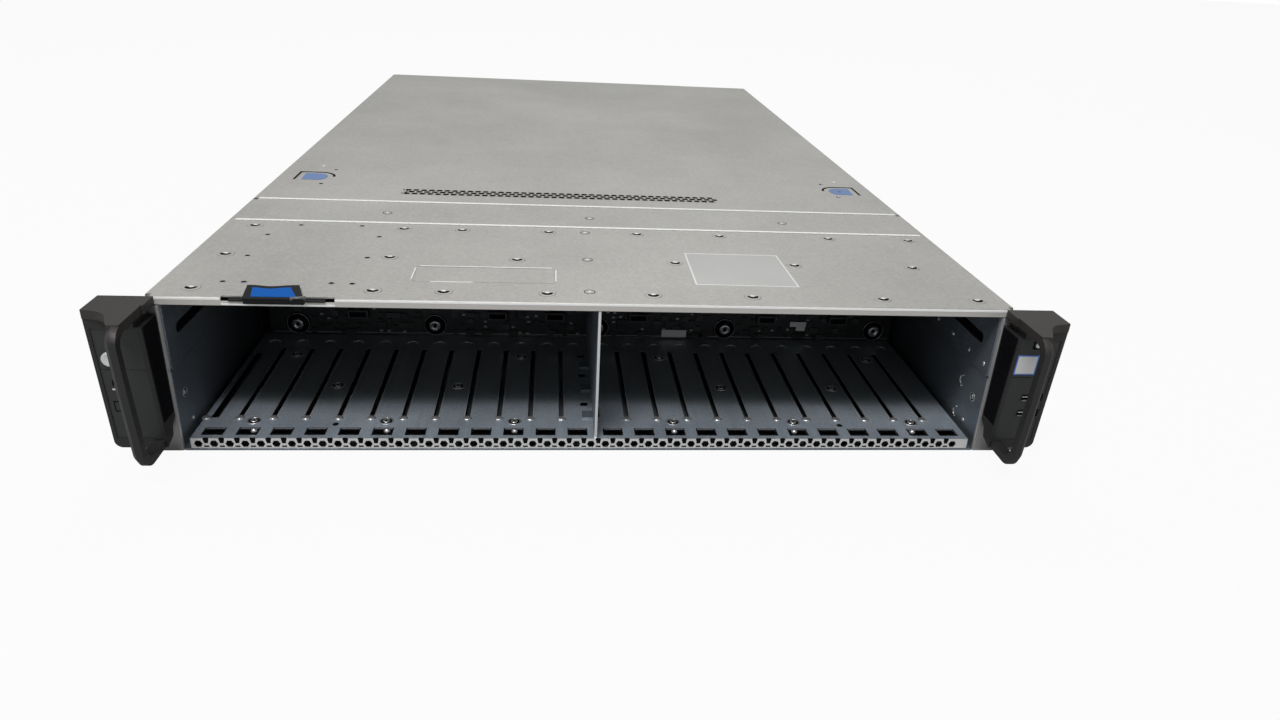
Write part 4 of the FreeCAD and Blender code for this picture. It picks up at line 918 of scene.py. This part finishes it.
# ---- Ears ----
# Moulded black ears bolted over the rack flanges. Each carries a finger loop and a small
# leaning panel: the power button on the left, USB sockets and a lamp on the right.
ear_black = moulded("ear_plastic", 1500, [(0.012, 0.011, 0.0105), (0.02, 0.0185, 0.0175)],
                    (0.5, 0.64), (0.25, 0.0002))
# Painted light: each ear turns lighter and warmer towards its top, as lit from above.
shade_zone(ear_black, "Z", 0.079, 0.0825, (0.029, 0.0245, 0.0215))
panel_grey = moulded("panel_plastic", 2000, [(0.02, 0.023, 0.021), (0.028, 0.032, 0.029)],
                     (0.5, 0.6), (0.2, 0.0002))
for name in SIDES.values():
    dress(ear_black, 0.0009, f"ear_housing_{name}")
    dress(panel_grey, SHEET_EDGE, f"ear_panel_{name}")
    dress(black_mask, 0, f"ear_board_{name}")
# The USB socket shells are steel painted dark as shade; thin strips along the mouths' edges are
# painted highlights.
shell_steel = steel("shell_steel", 1600, [(0.05, 0.05, 0.052), (0.09, 0.09, 0.092)],
                    (0.3, 0.45), 0.6)
clear_white = moulded("clear_white", 900, [(0.72, 0.73, 0.71), (0.82, 0.83, 0.81)],
                      (0.2, 0.3), SMOOTH)
button_silver = moulded("button_silver", 2500, [(0.62, 0.63, 0.63), (0.74, 0.75, 0.75)],
                        (0.25, 0.35), SMOOTH, 0.3)
sticker_blue = moulded("sticker_blue", 2500, [(0.05, 0.16, 0.55), (0.08, 0.22, 0.65)],
                       (0.4, 0.5), SMOOTH)
dress(shell_steel, 0, "usb_sockets")
dress(clear_white, 0, "status_lens")
dress(button_silver, SHEET_EDGE, "power_button")

panel_foot_y, panel_foot_z = -14, 14.3
panel_lean = math.atan((18 - 14) / (80 - panel_foot_z))
ear_side = 216


def panel_y(z):
    """Front plane of an ear panel at a height, in mm from the bay front."""
    return panel_foot_y - (z - panel_foot_z) * math.tan(panel_lean) + 0.4


def on_panel(x, z):
    """Place on a leaning ear panel for a small part drawn at zero and pointing up."""
    return (Matrix.Translation((x, panel_y(z), z)) @ Matrix.Rotation(panel_lean, 4, "X")
            @ FACING["front"])


def panel_patch(name, x, z, size, *finishes):
    """Thin rectangular mark on an ear panel; a second finish makes an inner field."""
    patch = bmesh.new()
    half_w = size[0] / 2
    half_h = size[1] / 2
    margin = 0.7
    block(patch, (-half_w, -half_h, 0), (half_w, half_h, 0.1), 0.05)
    if len(finishes) > 1:
        block(patch, (-half_w + margin, -half_h + margin, 0.05),
              (half_w - margin, half_h - margin, 0.16), 0, 1)
    repeat(patch, [on_panel(x, z)])
    add_piece(name, patch, finishes)


lens_x, lens_z = 227.8, 73.6
# The left slot and the rim of the left recess are near-black as painted shade; the field round the
# lamp is near-black too.
panel_patch("left_slot", -234.6, 47, (1.5, 3), painted_shade_and_black)
panel_patch("left_dash", -234.5, 43.6, (3, 0.9), label_white)
panel_patch("left_recess", -235.4, 34, (3.2, 6), painted_shade_and_black, panel_grey)
panel_patch("right_sticker", 224.2, 61.8, (11.8, 11.6), sticker_blue, label_white)
panel_patch("right_mark_upper", 226.4, 49.3, (2.4, 0.7), chip_grey)
panel_patch("right_mark_lower", 231.8, 27.6, (2.6, 1), label_white)
panel_patch("right_lens_field", lens_x, lens_z, (5.6, 5), painted_shade_and_black)
add_turned("lens_dome", [(0, 0.7), (0.8, 0.6), (1.4, 0.3), (1.55, 0), (0, 0)], 16,
           [on_panel(lens_x, lens_z)], clear_white)

button_z = 60.5
add_turned("button_dish", [(0, 0.1), (2.2, 0.12), (2.9, 0.35), (3.4, 0.3), (3.6, 0), (0, 0)], 26,
           [at(-233.5, panel_y(button_z) - 0.4 - 0.9, button_z, "front")], button_silver,
           "power_button")

usb_heights = (32.5, 42.1)
usb_tongues = bmesh.new()
for z in usb_heights:
    front = panel_y(z)
    block(usb_tongues, (227.6, front + 1.4, z + 0.3), (238, -3.4, z + 1.9), 0.15)
    # Thin bright strips at each mouth: painted highlight.
    for low_z in (z - 2.4, z - 0.3):
        block(usb_tongues, (227.8, front + 0.5, low_z), (237.8, front + 1, low_z + 0.4), 0, 1)
add_piece("usb_tongues", usb_tongues, [connector_black, bright])

mouth_left, mouth_right = 226.7, 238.9
mouth_half = 2.4
mouth_depth = 7
lining = 0.12
# Near-black linings inside the USB mouths: painted shade.
usb_throats = bmesh.new()
for z in usb_heights:
    front = panel_y(z) + 0.9
    back = front + mouth_depth
    for low_x in (mouth_left, mouth_right - lining):
        block(usb_throats, (low_x, front, z - mouth_half), (low_x + lining, back, z + mouth_half))
    for low_z in (z - mouth_half, z + mouth_half - lining):
        block(usb_throats, (mouth_left, front, low_z), (mouth_right, back, low_z + lining))
add_piece("usb_throats", usb_throats, [painted_shade_and_black])

cheek_low, cheek_high = 24, 76.8
for side, name in SIDES.items():
    cheek = bmesh.new()
    outline = [(panel_y(cheek_low) + 0.8, cheek_low), (-1.2, cheek_low), (-1.2, cheek_high),
               (panel_y(cheek_high) + 0.8, cheek_high)]
    sheet(cheek, outline, side * ear_side, side * (ear_side - 0.15), plane="yz")
    add_piece(f"ear_cheek_{name}", cheek, [painted_shade_and_black])

# ---- Fans, boards and processors ----
# Closed in under the sliding cover: a row of four fans, the shroud, the main board with its
# two processors and memory, and the riser boards.
board_green = moulded("board_green", 500, [(0.01, 0.06, 0.03), (0.018, 0.09, 0.045)], (0.3, 0.45))
fan_black = moulded("fan_plastic", 1500, [(0.014, 0.014, 0.015), (0.022, 0.022, 0.023)],
                    (0.45, 0.55))
dress(zinc, SHEET_EDGE, "fan_wall", "psu_bay")
dress(board_green, 0, "motherboard", "memory_modules", "riser_cards")
dress(connector_black, 0, "cpu_sockets", "memory_slots")
dress(bright, 0, "cpu_heatsinks")
dress(brass, 0, "board_standoffs")
dress(black_mask, 0, "power_board")
dress(fan_black, 0, "air_duct", "fan_frames", *(f"fan_rotor_{i}" for i in (1, 2, 3, 4)))

# ---- Rear wall ----
# Zinc-coated wall with blank slot brackets held by screws, and the port windows, whose
# unused openings have slotted blanks. Network ports have gold pins and two small lamps.
rear_y = 758.8
dress(zinc, SHEET_EDGE, "rear_panel")
dress(bright, SHEET_EDGE, "slot_covers", "rear_ports")

bracket_groups = (-152, 72)
bracket_rows = [34.2 + row * 20.32 for row in range(3)]
bracket_end = 63.5
supplies_x = 134
add_cross_screws("rear_screws", 2.8, 1.2,
                 [at(x + side * bracket_end, rear_y, z, "back")
                  for x in bracket_groups for side in SIDES for z in bracket_rows
                  if x + side * bracket_end < supplies_x])

bar_places = [x - 50.6 + i * 4.4 for x in bracket_groups for i in range(24)]
add_blocks("bracket_bars", [((x - 0.6, rear_y - 0.9, z - 2.6), (x + 0.6, rear_y - 0.3, z + 2.6))
                            for x in bar_places for z in bracket_rows], [bright])

windows = [-7 + i * 30 for i in range(4)]
# The blanks' slots are near-black blocks of painted shade.
add_blocks("window_blanks",
           [((x - 14, rear_y - 3.4, 11), (x + 14, rear_y - 2.8, 25)) for x in windows]
           + [((x - 10.4 + column * 4, rear_y - 2.85, 15.4),
               (x - 9.2 + column * 4, rear_y - 2.75, 20.6), 0, 1)
              for x in windows for column in range(6)], [zinc, painted_shade_and_black])

network_ports = (-160, -104, -86)
add_blocks("port_pins", [((x - 4.2 + i * 1.1, rear_y - 8, 18.4),
                          (x - 3.7 + i * 1.1, rear_y - 1.5, 18.7))
                         for x in network_ports for i in range(8)], [brass])

link_green = moulded("link_green", 900, [(0.1, 0.5, 0.14), (0.14, 0.62, 0.2)], (0.2, 0.3), SMOOTH)
link_amber = moulded("link_amber", 900, [(0.75, 0.36, 0.05), (0.85, 0.46, 0.08)], (0.2, 0.3),
                     SMOOTH)
lamp_front, lamp_back = rear_y + 0.5, rear_y + 0.75
add_blocks("link_lights", [((x + left, lamp_front, 20.6), (x + right, lamp_back, 22.2), 0.05, i)
                           for x in network_ports
                           for i, (left, right) in enumerate(((-7.2, -4.6), (4.6, 7.2)))],
           [link_green, link_amber])

# ---- Power supplies ----
# Two plug-in supplies in zinc-coated cases, one above the other. Each has an inlet, a grip,
# a green release lever, a wire guard over its fan and a small lamp.
release_green = moulded("release_plastic", 1500, [(0.03, 0.22, 0.1), (0.05, 0.32, 0.15)],
                        (0.4, 0.5))
supply_x = 177
supply_step = 41.2
case_top = 20
wire_radius = 0.65
half_to_mm = 500
for number in (1, 2):
    supply = f"psu_{number}"
    dress(zinc, 0.0003, f"{supply}_case")
    dress(connector_black, SHEET_EDGE, f"{supply}_inlet")
    dress(fan_black, 0.0006, f"{supply}_handle")
    dress(release_green, 0.0004, f"{supply}_latch")
    dress(fan_black, 0, f"{supply}_rotor")
    middle_z = 21.2 + (number - 1) * supply_step

    low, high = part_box(f"{supply}_guard")
    guard_place = at((low.x + high.x) * half_to_mm, (low.y - bay_front) * 1000 + 1,
                     (low.z + high.z) * half_to_mm, "back")
    reach = (high.x - low.x) * half_to_mm - 0.8
    guard = bmesh.new()
    for radius in (reach * 0.46, reach * 0.73, reach):
        turned(guard, [(radius + wire_radius * math.cos(a), wire_radius * math.sin(a))
                       for a in [math.radians(60 * i) for i in range(6)]], 36)
    for spoke in range(4):
        known = set(guard.verts)
        block(guard, (3, -0.5, -0.9), (reach, 0.5, 0.1), 0.15)
        move_new(guard, known, turn(45 + 90 * spoke, "Z"))
    turned(guard, [(0, 0.5), (3.4, 0.5), (3.9, 0.1), (3.9, -0.7), (0, -0.7)], 28)
    repeat(guard, [guard_place])
    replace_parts(add_piece(f"{supply}_wires", guard, [bright], supply),
                f"{supply}_guard")

    add_turned(f"{supply}_lamp", [(0, 0.8), (0.9, 0.6), (1.3, 0), (0, 0)], 14,
               [at(supply_x - 1.5, rear_y, middle_z + 15.5, "back")], link_green,
               supply)
    # Near-black hexagons of painted shade stand for the vent holes in each case top.
    add_turned(f"{supply}_vents", [(0, 0.06), (2, 0.06), (2, 0), (0, 0)], 6,
               [at(supply_x - 25 + column * 5 + (row % 2) * 2.5, 590 + row * 4.4,
                   middle_z + case_top) for row in range(6) for column in range(10)],
               painted_shade_and_black, supply)
    add_turned(f"{supply}_rivets", [(0, 0.45), (1.2, 0.4), (1.9, 0.15), (2.1, 0), (0, 0)], 14,
               [at(supply_x + side * 28, y, middle_z + case_top)
                for side in SIDES for y in (582, 640, 700, 745)],
               zinc, supply)
    add_cross_screws(f"{supply}_screws", 1.9, 0.8,
                     [at(supply_x + x, rear_y, middle_z + z, "back")
                      for x in (-33.5, 29) for z in (-16.5, 16.5)], supply)
